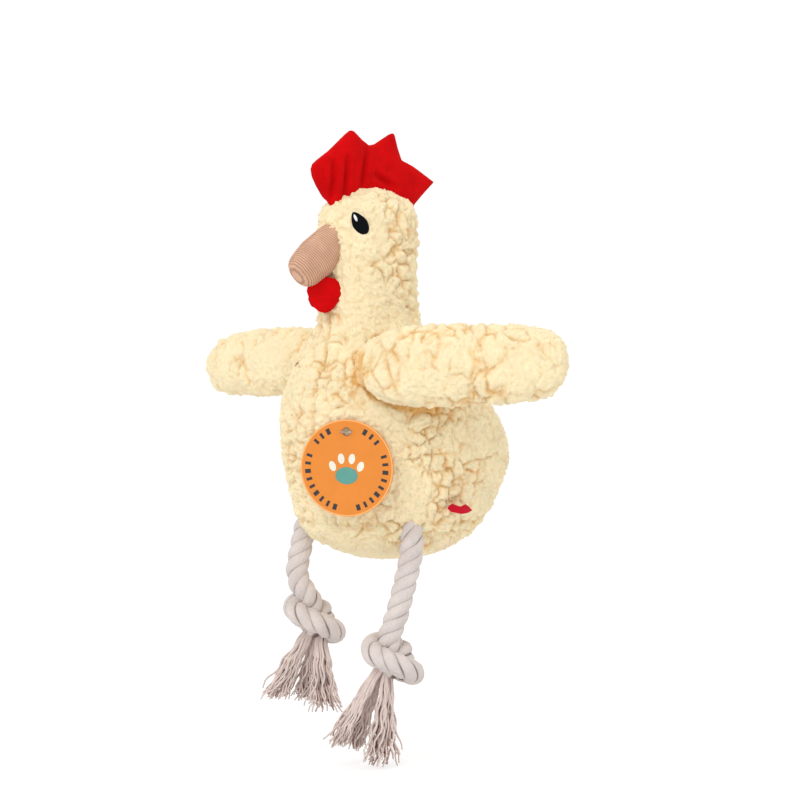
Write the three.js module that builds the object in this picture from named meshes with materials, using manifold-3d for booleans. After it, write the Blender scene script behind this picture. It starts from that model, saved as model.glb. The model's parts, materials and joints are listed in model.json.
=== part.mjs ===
// Plush hen toy with knotted rope legs.
//
// Millimetres, +Z up. The hen faces -Y and its left side is +X. The origin is at the centre of the
// footprint of the whole toy, on the surface that the longer tassel reaches.
//
// The skin is sherpa fleece over loose stuffing, with a squeaker in the belly. Comb and wattle are
// velour, the beak is ribbed cloth, and each leg is one length of cotton rope: sewn in at the top,
// tied in an overhand knot and frayed into a tassel below it.

import * as THREE from 'three';
import { mergeVertices } from 'three/addons/utils/BufferGeometryUtils.js';
import Module from 'manifold-3d';

const wasm = await Module();
wasm.setup();

// ---- Driving dimensions ---------------------------------------------------------------------

const GAP = 0.3; // between neighbouring pieces
const FLEECE = 2.6; // thickness of the fleece skin
const VELOUR = 1.3; // thickness of comb and beak cloth

// Body, neck and head: level, half width, half depth, and how far the section sits behind x = y = 0.
const TORSO = [
  { z: 99.5, side: 16, front: 18, centre: -2 },
  { z: 104.5, side: 28.5, front: 31.5, centre: -3 },
  { z: 114, side: 41, front: 45, centre: -3 },
  { z: 131, side: 48, front: 53.5, centre: 0 },
  { z: 150, side: 51.5, front: 59, centre: 1 },
  { z: 167, side: 49.5, front: 56, centre: -4 },
  { z: 183, side: 43, front: 47.5, centre: -10.5 },
  { z: 199, side: 31.5, front: 34.5, centre: -16 },
  { z: 214, side: 23.4, front: 25.6, centre: -18.8 },
  { z: 235, side: 22, front: 24, centre: -19.4 },
  { z: 255, side: 22.3, front: 25, centre: -19.4 },
  { z: 268, side: 18.8, front: 21.8, centre: -19.4 },
  { z: 274.5, side: 9, front: 11, centre: -19.4 },
  { z: 276, side: 3, front: 4, centre: -19.4 },
];
const HEAD_TURN = -16; // degrees, towards the hen's right
const TURN_FROM = 195; // the neck starts to turn here
const TURN_TO = 228; // and has turned by here
const NECK_Y = -19.4;
const BASE_SEAM = 118; // level of the seam round the base
const HEAD_STUFFING_FROM = 216;

// Comb outline in the head's middle plane: forward of the neck axis, and level.
const COMB_HALF_THICKNESS = 4.2;
const COMB_FRONT = { forward: 20, z: 266 };
const COMB_LOBE = { forward: 33, z: 283.5, swell: { forward: 29, z: 272 } };
const COMB_SHOULDER = { forward: 22, z: 292, swell: { forward: 30.5, z: 289.5 } };
const COMB_SPIKES = [
  { forward: 10.5, z: 302, valley: { forward: -1.5, z: 294.5 } },
  { forward: -14.5, z: 301.5, valley: { forward: -19, z: 287.5 } },
  { forward: -37, z: 278, valley: { forward: -26, z: 266.5 } },
];
const COMB_ROOT = 258;
const COMB_BACK = -18; // where the rear edge goes into the head

const BEAK = {
  forward: 17,
  z: 251.8,
  droop: 38, // degrees below level
  rings: [
    { z: 0, side: 10.4, front: 10.6 },
    { z: 10, side: 10.4, front: 10.6 },
    { z: 18, side: 9.2, front: 9.8 },
    { z: 24.5, side: 7, front: 8 },
    { z: 28.8, side: 2.6, front: 3.4 },
  ],
};

const WATTLE = {
  forward: 28.5,
  z: 231.5,
  radius: 7,
  thickness: 1.7,
  drop: { left: 12.5, right: 14.5 },
  side: 4.6,
  splay: 4, // degrees that a lobe leans out at its foot
  yaw: 30, // degrees that its rear edge turns out, round the throat
};
const WATTLE_SWING = 20; // degrees each way, side to side

const EYE = { z: 259, round: 50, halfWidth: 4, halfHeight: 5.8, proud: 1.5, tilt: 24 };
const GLINT = { halfWidth: 0.9, halfHeight: 2.2, up: 2.9, forward: 0.6 };

const WING = {
  rootReach: 14, // how far the rounded root goes past the pivot
  down: 8, // degrees the wing can drop
  up: 60, // degrees the wing can rise
  rings: [
    { z: 0.6, side: 4, front: 6 },
    { z: 6, side: 8.5, front: 13 },
    { z: 19, side: 12, front: 18.5 },
    { z: 38, side: 13.5, front: 20.4 },
    { z: 60, side: 13.5, front: 20.2 },
    { z: 80, side: 12.5, front: 18.6 },
    { z: 93, side: 10, front: 15 },
    { z: 100, side: 6.5, front: 9 },
    { z: 102.4, side: 2.5, front: 3.5 },
  ],
};

// The left wing is pushed forward at its root, and the right one hangs further back and flatter.
const WINGS = [
  {
    name: 'left',
    side: 1,
    pivot: { x: 35.6, y: -49, z: 193 },
    sweep: 30, // degrees backwards from straight out
    rise: 1.5, // degrees above level
    height: 1,
  },
  {
    name: 'right',
    side: -1,
    pivot: { x: -37, y: -15, z: 194 },
    sweep: 14,
    rise: -4.5,
    height: 0.87,
  },
];

const ROPE_RADIUS = 5.6;
const LEGS = [
  {
    side: 'left',
    hip: { x: 33.6, y: -27.2, z: 116.5 },
    route: [[0, 0, -4], [-0.4, -0.6, -14], [-2.1, -3.2, -27], [-4, -6.2, -40], [-5, -7.6, -52]],
    knot: { x: -5.4, y: -7.6, z: -61 },
    knotHalf: { x: 14.2, y: 13.2, z: 10.2 },
    lean: { x: -12, y: -10.5 },
    spread: 1,
    tassel: 50,
  },
  {
    side: 'right',
    hip: { x: -33.6, y: -27.2, z: 116.5 },
    route: [[0, 0, -4], [-1, -1.4, -12], [-2.3, -2.9, -22], [-2.2, -2.7, -31], [-0.6, -0.8, -38.5]],
    knot: { x: 4, y: 2.6, z: -47.6 },
    knotHalf: { x: 13, y: 12, z: 9.8 },
    lean: { x: -6.5, y: -6 },
    spread: 1.35,
    tassel: 46.5,
  },
];
const HIP_FORWARD = 60; // degrees a leg can swing towards -Y
const HIP_BACK = 35;
const TASSEL_SWING = 35; // degrees each way at the knot
const ANCHOR_LENGTH = 24; // rope sewn in and buried in the stuffing

const TAG = {
  facing: 22.5, // degrees that the card faces round towards the hen's left
  offset: 60.2, // of its back face from x = y = 0
  across: -3.9,
  hole: 162.8, // level of the pin
  drop: 16.8, // from the pin down to the centre
  radius: 22.5,
  holeRadius: 2.2,
  thickness: 0.8,
};
const PIN = { radius: 0.6, barRadius: 0.8, barLength: 9, inside: 7, outside: 1.4 };

const LABEL = { x: 48, y: -11.5, z: 127, length: 12.6, height: 4.6, thickness: 0.8, lean: 15, round: -10.5 };

const SQUEAKER = { y: 2, z: 140, radius: 15, squash: 0.8, wall: 1.1, neck: 4.2, tube: 10, tubeOut: 3 };

// ---- Materials ------------------------------------------------------------------------------

const cloth = (color, roughness = 0.95) => new THREE.MeshStandardMaterial({ color, roughness, metalness: 0 });

const MATERIALS = {
  fleece: cloth('#f6e6bf'),
  velour: cloth('#cf0d0d', 0.85),
  ribbed: cloth('#c9a287'),
  stuffing: cloth('#f4f3ee'),
  thread: cloth('#0c0f10', 0.6),
  whiteThread: cloth('#f5f5f2', 0.6),
  cotton: cloth('#d8cbc4'),
  card: cloth('#ee9640', 0.55),
  clear: cloth('#e9ecec', 0.25),
  ribbon: cloth('#bd1222', 0.6),
  squeaker: cloth('#e6ebe8', 0.35),
};

// ---- Solids ---------------------------------------------------------------------------------

const radians = THREE.MathUtils.degToRad;
const vector = ({ x = 0, y = 0, z = 0 }) => new THREE.Vector3(x, y, z);

function signedVolume(positions, triangles) {
  const corner = (i) => new THREE.Vector3().fromArray(positions, 3 * triangles[i]);
  let volume = 0;
  for (let i = 0; i < triangles.length; i += 3) {
    volume += corner(i).dot(corner(i + 1).cross(corner(i + 2)));
  }
  return volume / 6;
}

// A closed three.js geometry as a solid that can be joined and cut.
function solid(geometry) {
  const bare = geometry.clone();
  bare.deleteAttribute('normal');
  bare.deleteAttribute('uv');
  const merged = mergeVertices(bare, 1e-4);
  const vertProperties = new Float32Array(merged.attributes.position.array);
  let triVerts = new Uint32Array(merged.index.array);
  if (signedVolume(vertProperties, triVerts) < 0) {
    triVerts = triVerts.reverse();
  }
  return new wasm.Manifold(new wasm.Mesh({ numProp: 3, vertProperties, triVerts }));
}

function meshOf(name, shape, material, bend = (point) => point) {
  const { vertProperties, triVerts } = shape.getMesh();
  const geometry = new THREE.BufferGeometry();
  const place = new THREE.BufferAttribute(new Float32Array(vertProperties), 3);
  for (let i = 0; i < place.count; i += 1) {
    const point = bend(new THREE.Vector3().fromBufferAttribute(place, i));
    place.setXYZ(i, point.x, point.y, point.z);
  }
  geometry.setAttribute('position', place);
  geometry.setIndex(new THREE.BufferAttribute(new Uint32Array(triVerts), 1));
  geometry.computeVertexNormals();
  const mesh = new THREE.Mesh(geometry, material);
  mesh.name = name;
  return mesh;
}

const moved = (shape, matrix) => shape.transform(matrix.toArray());

function turned(shape, axis, degrees) {
  return moved(shape, new THREE.Matrix4().makeRotationAxis(axis, radians(degrees)));
}

// A large box that keeps one side of a plane: axis is 'x', 'y' or 'z'.
function halfSpace(axis, from, sign) {
  const size = 600;
  const box = new THREE.BoxGeometry(size, size, size);
  const place = new THREE.Vector3();
  place[axis] = from + (sign * size) / 2;
  return solid(box.translate(place.x, place.y, place.z));
}

function rod(from, to, radius, sides = 12) {
  const geometry = new THREE.CylinderGeometry(radius, radius, from.distanceTo(to), sides);
  const along = to.clone().sub(from).normalize();
  geometry.applyQuaternion(new THREE.Quaternion().setFromUnitVectors(new THREE.Vector3(0, 1, 0), along));
  const middle = from.clone().lerp(to, 0.5);
  return solid(geometry.translate(middle.x, middle.y, middle.z));
}

function ellipsoid(half, sides = 14, rings = 8) {
  const geometry = new THREE.SphereGeometry(1, sides, rings);
  return solid(geometry.scale(half.x, half.y, half.z));
}

// Sections of a stuffed form along +Z, on a smooth curve through its stations. A negative grow
// gives the form inside a skin of that thickness.
function sections(stations, steps, grow) {
  const through = (points) => new THREE.CatmullRomCurve3(points, false, 'catmullrom');
  const girths = through(stations.map((s) => new THREE.Vector3(s.side, s.front, s.z)));
  const axis = through(stations.map((s) => new THREE.Vector3(0, s.centre ?? 0, s.z)));
  const low = stations[0].z;
  const high = stations.at(-1).z;
  const result = [];
  for (let i = 0; i <= steps; i += 1) {
    const girth = girths.getPoint(i / steps);
    const z = THREE.MathUtils.mapLinear(girth.z, low, high, low - grow, high + grow);
    const side = Math.max(girth.x + grow, 0.6);
    const front = Math.max(girth.y + grow, 0.6);
    result.push({ side, front, centre: axis.getPoint(i / steps).y, z });
  }
  return result;
}

// A stuffed form: the lathe of a unit circle, with each ring set to its section.
function loft(rings, sides, bend = (point) => point) {
  const profile = rings.map((ring, i) => new THREE.Vector2(1, i));
  profile.unshift(new THREE.Vector2(0, 0));
  profile.push(new THREE.Vector2(0, rings.length - 1));
  const geometry = new THREE.LatheGeometry(profile, sides);
  const place = geometry.attributes.position;
  for (let i = 0; i < place.count; i += 1) {
    const ring = rings[Math.round(place.getY(i))];
    const point = new THREE.Vector3(place.getX(i) * ring.side, place.getZ(i) * ring.front, ring.z);
    point.y += ring.centre ?? 0;
    bend(point);
    place.setXYZ(i, point.x, point.y, point.z);
  }
  return solid(geometry);
}

// Turns a point of the straight torso with the neck, so that its seams turn too.
function turnNeck(point) {
  const angle = HEAD_TURN * THREE.MathUtils.smoothstep(point.z, TURN_FROM, TURN_TO);
  point.y -= NECK_Y;
  point.applyAxisAngle(new THREE.Vector3(0, 0, 1), radians(angle));
  point.y += NECK_Y;
  return point;
}

const TORSO_STEPS = 20;
const TORSO_SIDES = 20;
const straightTorso = (grow) => loft(sections(TORSO, TORSO_STEPS, grow), TORSO_SIDES);
const torso = (grow, steps = TORSO_STEPS, sides = TORSO_SIDES) => loft(sections(TORSO, steps, grow), sides, turnNeck);

const torsoClear = torso(GAP);
const coarseTorso = (grow) => torso(grow + 0.9, 13, 16);

// What a turning piece has to stay out of: the fixed shape, seen from the piece at each angle.
function sweptClear(fixed, group, axis, angles) {
  const local = moved(fixed, group.matrix.clone().invert());
  return angles.map((angle) => turned(local, axis, -angle)).reduce((all, one) => all.add(one));
}

// ---- Frames ---------------------------------------------------------------------------------

function placedGroup(position, rotation = new THREE.Euler()) {
  const group = new THREE.Group();
  group.position.copy(position);
  group.rotation.copy(rotation);
  group.updateMatrix();
  return group;
}

const headFrame = placedGroup(new THREE.Vector3(0, NECK_Y, 0), new THREE.Euler(0, 0, radians(HEAD_TURN)));
const headClear = moved(torsoClear, headFrame.matrix.clone().invert());

const tagTurn = radians(TAG.facing);
const tagFrame = placedGroup(
  new THREE.Vector3(
    TAG.offset * Math.sin(tagTurn) + TAG.across * Math.cos(tagTurn),
    -TAG.offset * Math.cos(tagTurn) + TAG.across * Math.sin(tagTurn),
    TAG.hole,
  ),
  new THREE.Euler(0, 0, tagTurn),
);

// ---- Rope legs ------------------------------------------------------------------------------

function ropeRoute(leg) {
  return new THREE.CatmullRomCurve3(leg.route.map((point) => new THREE.Vector3(...point)));
}

function tube(curve, radius, steps, sides = 10) {
  const section = new THREE.Shape();
  for (let i = 0; i < sides; i += 1) {
    const angle = (2 * Math.PI * i) / sides;
    const corner = [radius * Math.cos(angle), radius * Math.sin(angle)];
    if (i === 0) section.moveTo(...corner);
    else section.lineTo(...corner);
  }
  return solid(new THREE.ExtrudeGeometry(section, { steps, extrudePath: curve }));
}

// The buried end of the rope goes up and inwards from the seam.
function anchorCurve(leg) {
  const inward = new THREE.Vector3(-leg.hip.x, -leg.hip.y, 34).normalize();
  const start = vector(leg.hip);
  return new THREE.LineCurve3(start, start.clone().addScaledVector(inward, ANCHOR_LENGTH));
}

const anchorHoles = LEGS.map((leg) => tube(anchorCurve(leg), ROPE_RADIUS + GAP, 1));
const throughSeam = LEGS.map((leg) => {
  const curve = anchorCurve(leg);
  const outside = curve.v1.clone().addScaledVector(curve.v2.clone().sub(curve.v1), -0.5);
  return tube(new THREE.LineCurve3(outside, curve.v2), ROPE_RADIUS + GAP, 1);
});

function anchor(leg) {
  const curve = anchorCurve(leg);
  const shape = tube(curve, ROPE_RADIUS, 1).intersect(torso(-GAP));
  return meshOf(`leg_${leg.side}_anchor`, shape, MATERIALS.cotton);
}

function tasselShape(leg) {
  const top = vector({ z: -leg.knotHalf.z * 0.35 });
  const locks = [[0, 0.55, 0.9], [2.1, 0.55, 0.96], [4.2, 0.6, 1]];
  const bundle = locks.map(([angle, spread, reach]) => {
    const across = leg.knotHalf.x * spread * leg.spread;
    const end = new THREE.Vector3(
      leg.lean.x + across * Math.cos(angle),
      leg.lean.y + across * Math.sin(angle),
      -leg.tassel * reach,
    );
    const middle = end.clone().multiplyScalar(0.5).add(new THREE.Vector3(0, 0, -4));
    const curve = new THREE.CatmullRomCurve3([top, middle, end]);
    return tube(curve, ROPE_RADIUS * 1.1, 3, 8);
  });
  return bundle.reduce((all, one) => all.add(one)).intersect(halfSpace('z', -leg.tassel, 1));
}

function ropeLeg(leg) {
  const swing = new THREE.Vector3(1, 0, 0);
  const hip = placedGroup(vector(leg.hip));
  const hipAngles = [-HIP_FORWARD, -40, -20, 0, HIP_BACK / 2, HIP_BACK];
  const body = sweptClear(coarseTorso(0.3), hip, swing, hipAngles);
  const shank = tube(ropeRoute(leg), ROPE_RADIUS, 8).subtract(body);
  const knotMatrix = new THREE.Matrix4().makeTranslation(leg.knot.x, leg.knot.y, leg.knot.z);
  const ropeClear = tube(ropeRoute(leg), ROPE_RADIUS + GAP, 8);
  const knot = ellipsoid(vector(leg.knotHalf)).transform(knotMatrix.toArray()).subtract(ropeClear);
  hip.add(meshOf(`leg_${leg.side}_rope`, shank, MATERIALS.cotton));
  hip.add(meshOf(`leg_${leg.side}_knot`, knot, MATERIALS.cotton));

  const below = placedGroup(vector(leg.knot));
  const grown = vector(leg.knotHalf).addScalar(0.6);
  const tasselAngles = [-TASSEL_SWING, 0, TASSEL_SWING];
  const knotClear = tasselAngles.map((angle) => turned(ellipsoid(grown), swing, angle));
  const tassel = knotClear.reduce((rest, one) => rest.subtract(one), tasselShape(leg));
  below.add(meshOf(`leg_${leg.side}_tassel`, tassel, MATERIALS.cotton));
  hip.add(below);
  return hip;
}

// ---- Body -----------------------------------------------------------------------------------

function tagPinShape(extra = 0) {
  const inner = vector({ y: PIN.inside });
  const outer = vector({ y: -TAG.thickness - PIN.outside });
  const bar = (y) => rod(
    new THREE.Vector3(-PIN.barLength / 2 - extra, y, 0),
    new THREE.Vector3(PIN.barLength / 2 + extra, y, 0),
    PIN.barRadius + extra,
    8,
  );
  return rod(inner, outer, PIN.radius + extra, 8).add(bar(inner.y)).add(bar(outer.y));
}

function squeakerPlace() {
  return placedGroup(new THREE.Vector3(0, SQUEAKER.y, SQUEAKER.z));
}

function torsoPieces() {
  const pinHole = moved(tagPinShape(GAP), tagFrame.matrix);
  const holes = throughSeam.reduce((all, one) => all.add(one), pinHole);
  const skin = straightTorso(0).subtract(straightTorso(-FLEECE)).subtract(holes);
  const above = skin.intersect(halfSpace('z', BASE_SEAM + GAP / 2, 1));
  const base = skin.intersect(halfSpace('z', BASE_SEAM - GAP / 2, -1));

  const bulbRoom = ellipsoid(new THREE.Vector3(SQUEAKER.radius + 1, SQUEAKER.radius + 1, SQUEAKER.radius));
  const mouth = rod(new THREE.Vector3(), new THREE.Vector3(0, 0, -60), SQUEAKER.neck + 1.6);
  const pocket = moved(bulbRoom.add(mouth), squeakerPlace().matrix);
  const buried = anchorHoles.reduce((all, one) => all.add(one), pocket.add(pinHole));
  const filling = straightTorso(-FLEECE - GAP);
  const bodyFill = filling.intersect(halfSpace('z', HEAD_STUFFING_FROM - GAP / 2, -1)).subtract(buried);
  const headFill = filling.intersect(halfSpace('z', HEAD_STUFFING_FROM + GAP / 2, 1));
  const left = above.intersect(halfSpace('x', GAP / 2, 1));
  const right = above.intersect(halfSpace('x', -GAP / 2, -1));

  return [
    meshOf('body_panel_left', left, MATERIALS.fleece, turnNeck),
    meshOf('body_panel_right', right, MATERIALS.fleece, turnNeck),
    meshOf('base_gusset', base, MATERIALS.fleece),
    meshOf('body_fill', bodyFill, MATERIALS.stuffing, turnNeck),
    meshOf('head_fill', headFill, MATERIALS.stuffing, turnNeck),
    ...LEGS.map(anchor),
  ];
}

function squeaker() {
  const { radius, wall, neck, tube: tubeLength, tubeOut } = SQUEAKER;
  const group = squeakerPlace();
  const arc = (r, from, to, steps = 7) => Array.from({ length: steps + 1 }, (unused, i) => {
    const angle = THREE.MathUtils.lerp(from, to, i / steps);
    return new THREE.Vector2(r * Math.sin(angle), r * Math.cos(angle));
  });
  const mouth = Math.PI - Math.asin(neck / radius);
  const outer = arc(radius, 0, mouth);
  const inner = arc(radius - wall, mouth, 0);
  outer[0].x = 0;
  inner.at(-1).x = 0;
  const bulb = new THREE.LatheGeometry([...outer, ...inner], 14);
  bulb.rotateX(Math.PI / 2).scale(1, 1, SQUEAKER.squash);
  const mouthZ = -radius * SQUEAKER.squash;
  const tubeEnd = mouthZ - tubeOut;
  const pipe = rod(vector({ z: tubeEnd }), vector({ z: tubeEnd + tubeLength }), neck - GAP, 14);
  const bore = rod(vector({ z: tubeEnd - 6 }), vector({ z: tubeEnd + tubeLength + 3 }), neck - 1.3, 12);
  const reed = new THREE.BoxGeometry(0.4, 3.4, tubeLength - 2);
  reed.translate(0, 0, tubeEnd + tubeLength / 2);
  const bulbSolid = solid(bulb).subtract(rod(vector({ z: mouthZ - 20 }), vector({ z: 0 }), neck, 14));
  group.add(meshOf('squeaker_bulb', bulbSolid, MATERIALS.squeaker));
  group.add(meshOf('squeaker_reed_tube', pipe.subtract(bore), MATERIALS.squeaker));
  group.add(meshOf('squeaker_reed', solid(reed), MATERIALS.whiteThread));
  return group;
}

// ---- Head -----------------------------------------------------------------------------------

// Turns an outline drawn as (forward, level) into the head's middle plane, with its thickness
// across the head from -X to +X.
function inMiddlePlane(shape, from, to) {
  const geometry = new THREE.ExtrudeGeometry(shape, { depth: to - from, bevelEnabled: false, curveSegments: 4 });
  const basis = new THREE.Matrix4().makeBasis(
    new THREE.Vector3(0, -1, 0),
    new THREE.Vector3(0, 0, 1),
    new THREE.Vector3(-1, 0, 0),
  );
  return solid(geometry.applyMatrix4(basis).translate(to, 0, 0));
}

function combOutline() {
  const outline = new THREE.Shape();
  outline.moveTo(COMB_FRONT.forward, COMB_ROOT);
  outline.lineTo(COMB_FRONT.forward, COMB_FRONT.z);
  for (const point of [COMB_LOBE, COMB_SHOULDER]) {
    outline.quadraticCurveTo(point.swell.forward, point.swell.z, point.forward, point.z);
  }
  for (const spike of COMB_SPIKES) {
    outline.lineTo(spike.forward, spike.z);
    outline.lineTo(spike.valley.forward, spike.valley.z);
  }
  outline.lineTo(COMB_BACK, COMB_ROOT);
  return outline;
}

function comb() {
  const layer = (from, to) => inMiddlePlane(combOutline(), from, to).subtract(headClear);
  const inside = COMB_HALF_THICKNESS - VELOUR;
  return [
    meshOf('comb_left_panel', layer(inside, COMB_HALF_THICKNESS), MATERIALS.velour),
    meshOf('comb_right_panel', layer(-COMB_HALF_THICKNESS, -inside), MATERIALS.velour),
    meshOf('comb_padding', layer(-inside + GAP, inside - GAP), MATERIALS.stuffing),
  ];
}

function beakShape(grow) {
  const droop = radians(BEAK.droop);
  const along = new THREE.Vector3(0, -Math.cos(droop), -Math.sin(droop));
  const across = new THREE.Vector3(1, 0, 0);
  const basis = new THREE.Matrix4().makeBasis(across, along.clone().cross(across), along);
  basis.setPosition(0, -BEAK.forward, BEAK.z);
  return moved(loft(sections(BEAK.rings, 7, grow), 12), basis);
}

function beak() {
  const cover = beakShape(0).subtract(beakShape(-VELOUR)).subtract(headClear);
  const fill = beakShape(-VELOUR - GAP).subtract(headClear);
  return [
    meshOf('beak_cover', cover, MATERIALS.ribbed),
    meshOf('beak_fill', fill, MATERIALS.stuffing),
  ];
}

// Each eye is satin stitch: a slightly raised oval on the side of the head.
function eye(name, side) {
  const round = radians(EYE.round);
  const station = { side: 22, front: 24.7 };
  const place = new THREE.Vector3(side * station.side * Math.sin(round), -station.front * Math.cos(round), EYE.z);
  const out = new THREE.Vector3(place.x / station.side ** 2, place.y / station.front ** 2, 0).normalize();
  const up = new THREE.Vector3(0, 0, 1);
  const across = up.clone().cross(out);
  const frame = new THREE.Matrix4().makeBasis(across, up, out).setPosition(place);
  frame.multiply(new THREE.Matrix4().makeRotationZ(radians(side * EYE.tilt)));
  const glintAt = new THREE.Matrix4().makeTranslation(-side * GLINT.forward, GLINT.up, 0.4);
  const glint = (grow) => ellipsoid(
    new THREE.Vector3(GLINT.halfWidth + grow, GLINT.halfHeight + grow, EYE.proud + 0.5 + grow),
    8,
    6,
  ).transform(glintAt.toArray());
  const patch = ellipsoid(new THREE.Vector3(EYE.halfWidth, EYE.halfHeight, EYE.proud), 14, 6);
  const black = moved(patch.subtract(glint(GAP)), frame).subtract(headClear);
  const white = moved(glint(0), frame).subtract(headClear);
  return [
    meshOf(`eye_${name}`, black, MATERIALS.thread),
    meshOf(`eye_${name}_glint`, white, MATERIALS.whiteThread),
  ];
}

function wattle() {
  const group = placedGroup(new THREE.Vector3(0, -WATTLE.forward, WATTLE.z));
  const angles = [-WATTLE_SWING, 0, WATTLE_SWING];
  const around = sweptClear(headClear.add(beakShape(0.5)), group, new THREE.Vector3(0, 1, 0), angles);
  const panel = (name, side) => {
    const { radius, thickness } = WATTLE;
    const middle = radius - WATTLE.drop[name];
    const lobe = new THREE.Shape();
    lobe.moveTo(0, 0);
    lobe.quadraticCurveTo(radius, -3, radius, middle);
    lobe.absarc(0, middle, radius, 0, Math.PI, true);
    lobe.quadraticCurveTo(-radius, -3, 0, 0);
    const flat = inMiddlePlane(lobe, -thickness / 2, thickness / 2);
    const splayed = turned(flat, new THREE.Vector3(0, 1, 0), -side * WATTLE.splay);
    const yawed = turned(splayed, new THREE.Vector3(0, 0, 1), -side * WATTLE.yaw);
    const shape = yawed.translate([side * WATTLE.side, 0, -1]).subtract(around);
    return meshOf(`wattle_${name}_lobe`, shape, MATERIALS.velour);
  };
  group.add(panel('left', 1), panel('right', -1));
  return group;
}

function head() {
  headFrame.add(...comb(), ...beak(), ...eye('left', 1), ...eye('right', -1), wattle());
  return headFrame;
}

// ---- Wings ----------------------------------------------------------------------------------

function wing({ name, side, pivot, sweep, rise, height }) {
  const outward = Math.atan2(Math.sin(radians(sweep)), side * Math.cos(radians(sweep)));
  const group = placedGroup(vector(pivot), new THREE.Euler(0, -radians(rise), outward, 'ZYX'));
  const rings = WING.rings.map((ring) => ({ ...ring, front: ring.front * height }));

  const flap = new THREE.Vector3(0, -1, 0);
  const angles = [-WING.down, 0, 14, 28, 44, WING.up];
  const lying = new THREE.Matrix4().makeBasis(
    new THREE.Vector3(0, 1, 0),
    new THREE.Vector3(0, 0, 1),
    new THREE.Vector3(1, 0, 0),
  );
  lying.setPosition(-WING.rootReach, 0, 0);
  const form = (grow, clear) => {
    const free = sweptClear(coarseTorso(clear), group, flap, angles);
    return moved(loft(sections(rings, 11, grow), 12), lying).subtract(free);
  };
  const shell = form(0, 0.4).subtract(form(-FLEECE, 0.4 + FLEECE));
  const fill = form(-FLEECE - GAP, 0.4 + FLEECE + GAP);
  group.add(meshOf(`wing_${name}_upper_panel`, shell.intersect(halfSpace('z', GAP / 2, 1)), MATERIALS.fleece));
  group.add(meshOf(`wing_${name}_lower_panel`, shell.intersect(halfSpace('z', -GAP / 2, -1)), MATERIALS.fleece));
  group.add(meshOf(`wing_${name}_fill`, fill, MATERIALS.stuffing));
  return group;
}

// ---- Tag and label --------------------------------------------------------------------------

function hangTag() {
  const outline = new THREE.Shape();
  outline.absarc(0, -TAG.drop, TAG.radius, 0, 2 * Math.PI);
  const hole = new THREE.Path();
  hole.absarc(0, 0, TAG.holeRadius, 0, 2 * Math.PI);
  outline.holes.push(hole);
  const card = new THREE.ExtrudeGeometry(outline, { depth: TAG.thickness, bevelEnabled: false, curveSegments: 14 });
  tagFrame.add(meshOf('hang_tag', solid(card.rotateX(Math.PI / 2)), MATERIALS.card));
  tagFrame.add(meshOf('tag_pin', tagPinShape(), MATERIALS.clear));
  return tagFrame;
}

function sideLabel() {
  const group = placedGroup(vector(LABEL), new THREE.Euler(0, radians(LABEL.lean), radians(LABEL.round), 'ZYX'));
  const { length, height, thickness } = LABEL;
  const outline = new THREE.Shape();
  outline.moveTo(-length / 2, -height / 2);
  outline.lineTo(length / 2 - 3, -height / 2);
  outline.lineTo(length / 2, 0);
  outline.lineTo(length / 2 - 3, height / 2);
  outline.lineTo(-length / 2, height / 2);
  const ribbon = new THREE.ExtrudeGeometry(outline, { depth: thickness, bevelEnabled: false });
  const upright = new THREE.Matrix4().makeBasis(
    new THREE.Vector3(0, 1, 0),
    new THREE.Vector3(0, 0, 1),
    new THREE.Vector3(1, 0, 0),
  );
  const local = moved(torsoClear, group.matrix.clone().invert());
  group.add(meshOf('side_label', solid(ribbon.applyMatrix4(upright)).subtract(local), MATERIALS.ribbon));
  return group;
}

// ---- The toy --------------------------------------------------------------------------------

const toy = new THREE.Group();
toy.add(...torsoPieces(), squeaker(), head(), ...WINGS.map(wing));
toy.add(...LEGS.map(ropeLeg), hangTag(), sideLabel());

const reach = new THREE.Box3().setFromObject(toy, true);
const footprint = reach.getCenter(new THREE.Vector3());
toy.position.set(-footprint.x, -footprint.y, -reach.min.z);

export default toy;
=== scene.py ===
"""A plush hen with knotted rope legs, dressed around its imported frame.

Fleece torso and wings, velour comb and wattle, ribbed beak, stitched eyes, tied and frayed rope
legs, a card tag on a clear pin and a ribbon label. Lengths are in metres, the hen faces -Y.
"""

import json
import math

import bpy
import numpy as np
from bpy.props import FloatProperty, FloatVectorProperty, IntProperty, PointerProperty
from mathutils import Matrix, Vector


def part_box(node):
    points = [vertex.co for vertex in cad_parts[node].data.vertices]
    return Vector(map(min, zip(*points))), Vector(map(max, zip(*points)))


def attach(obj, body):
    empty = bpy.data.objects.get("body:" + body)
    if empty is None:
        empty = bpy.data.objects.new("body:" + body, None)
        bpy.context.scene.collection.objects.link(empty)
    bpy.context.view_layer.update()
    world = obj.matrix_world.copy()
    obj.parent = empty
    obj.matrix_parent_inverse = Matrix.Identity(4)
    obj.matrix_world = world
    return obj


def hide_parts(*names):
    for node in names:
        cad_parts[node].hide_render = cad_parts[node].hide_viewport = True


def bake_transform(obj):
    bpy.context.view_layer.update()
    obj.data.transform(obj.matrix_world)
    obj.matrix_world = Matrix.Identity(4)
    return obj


bl_info = {
    "name": "Plush Hen Maker",
    "version": (1, 0, 0),
    "blender": (4, 5, 0),
    "location": "View3D > Sidebar > Hen",
    "description": "Sews the hen's fleece, velour, rope and card around its frame",
    "category": "Object",
}

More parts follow.
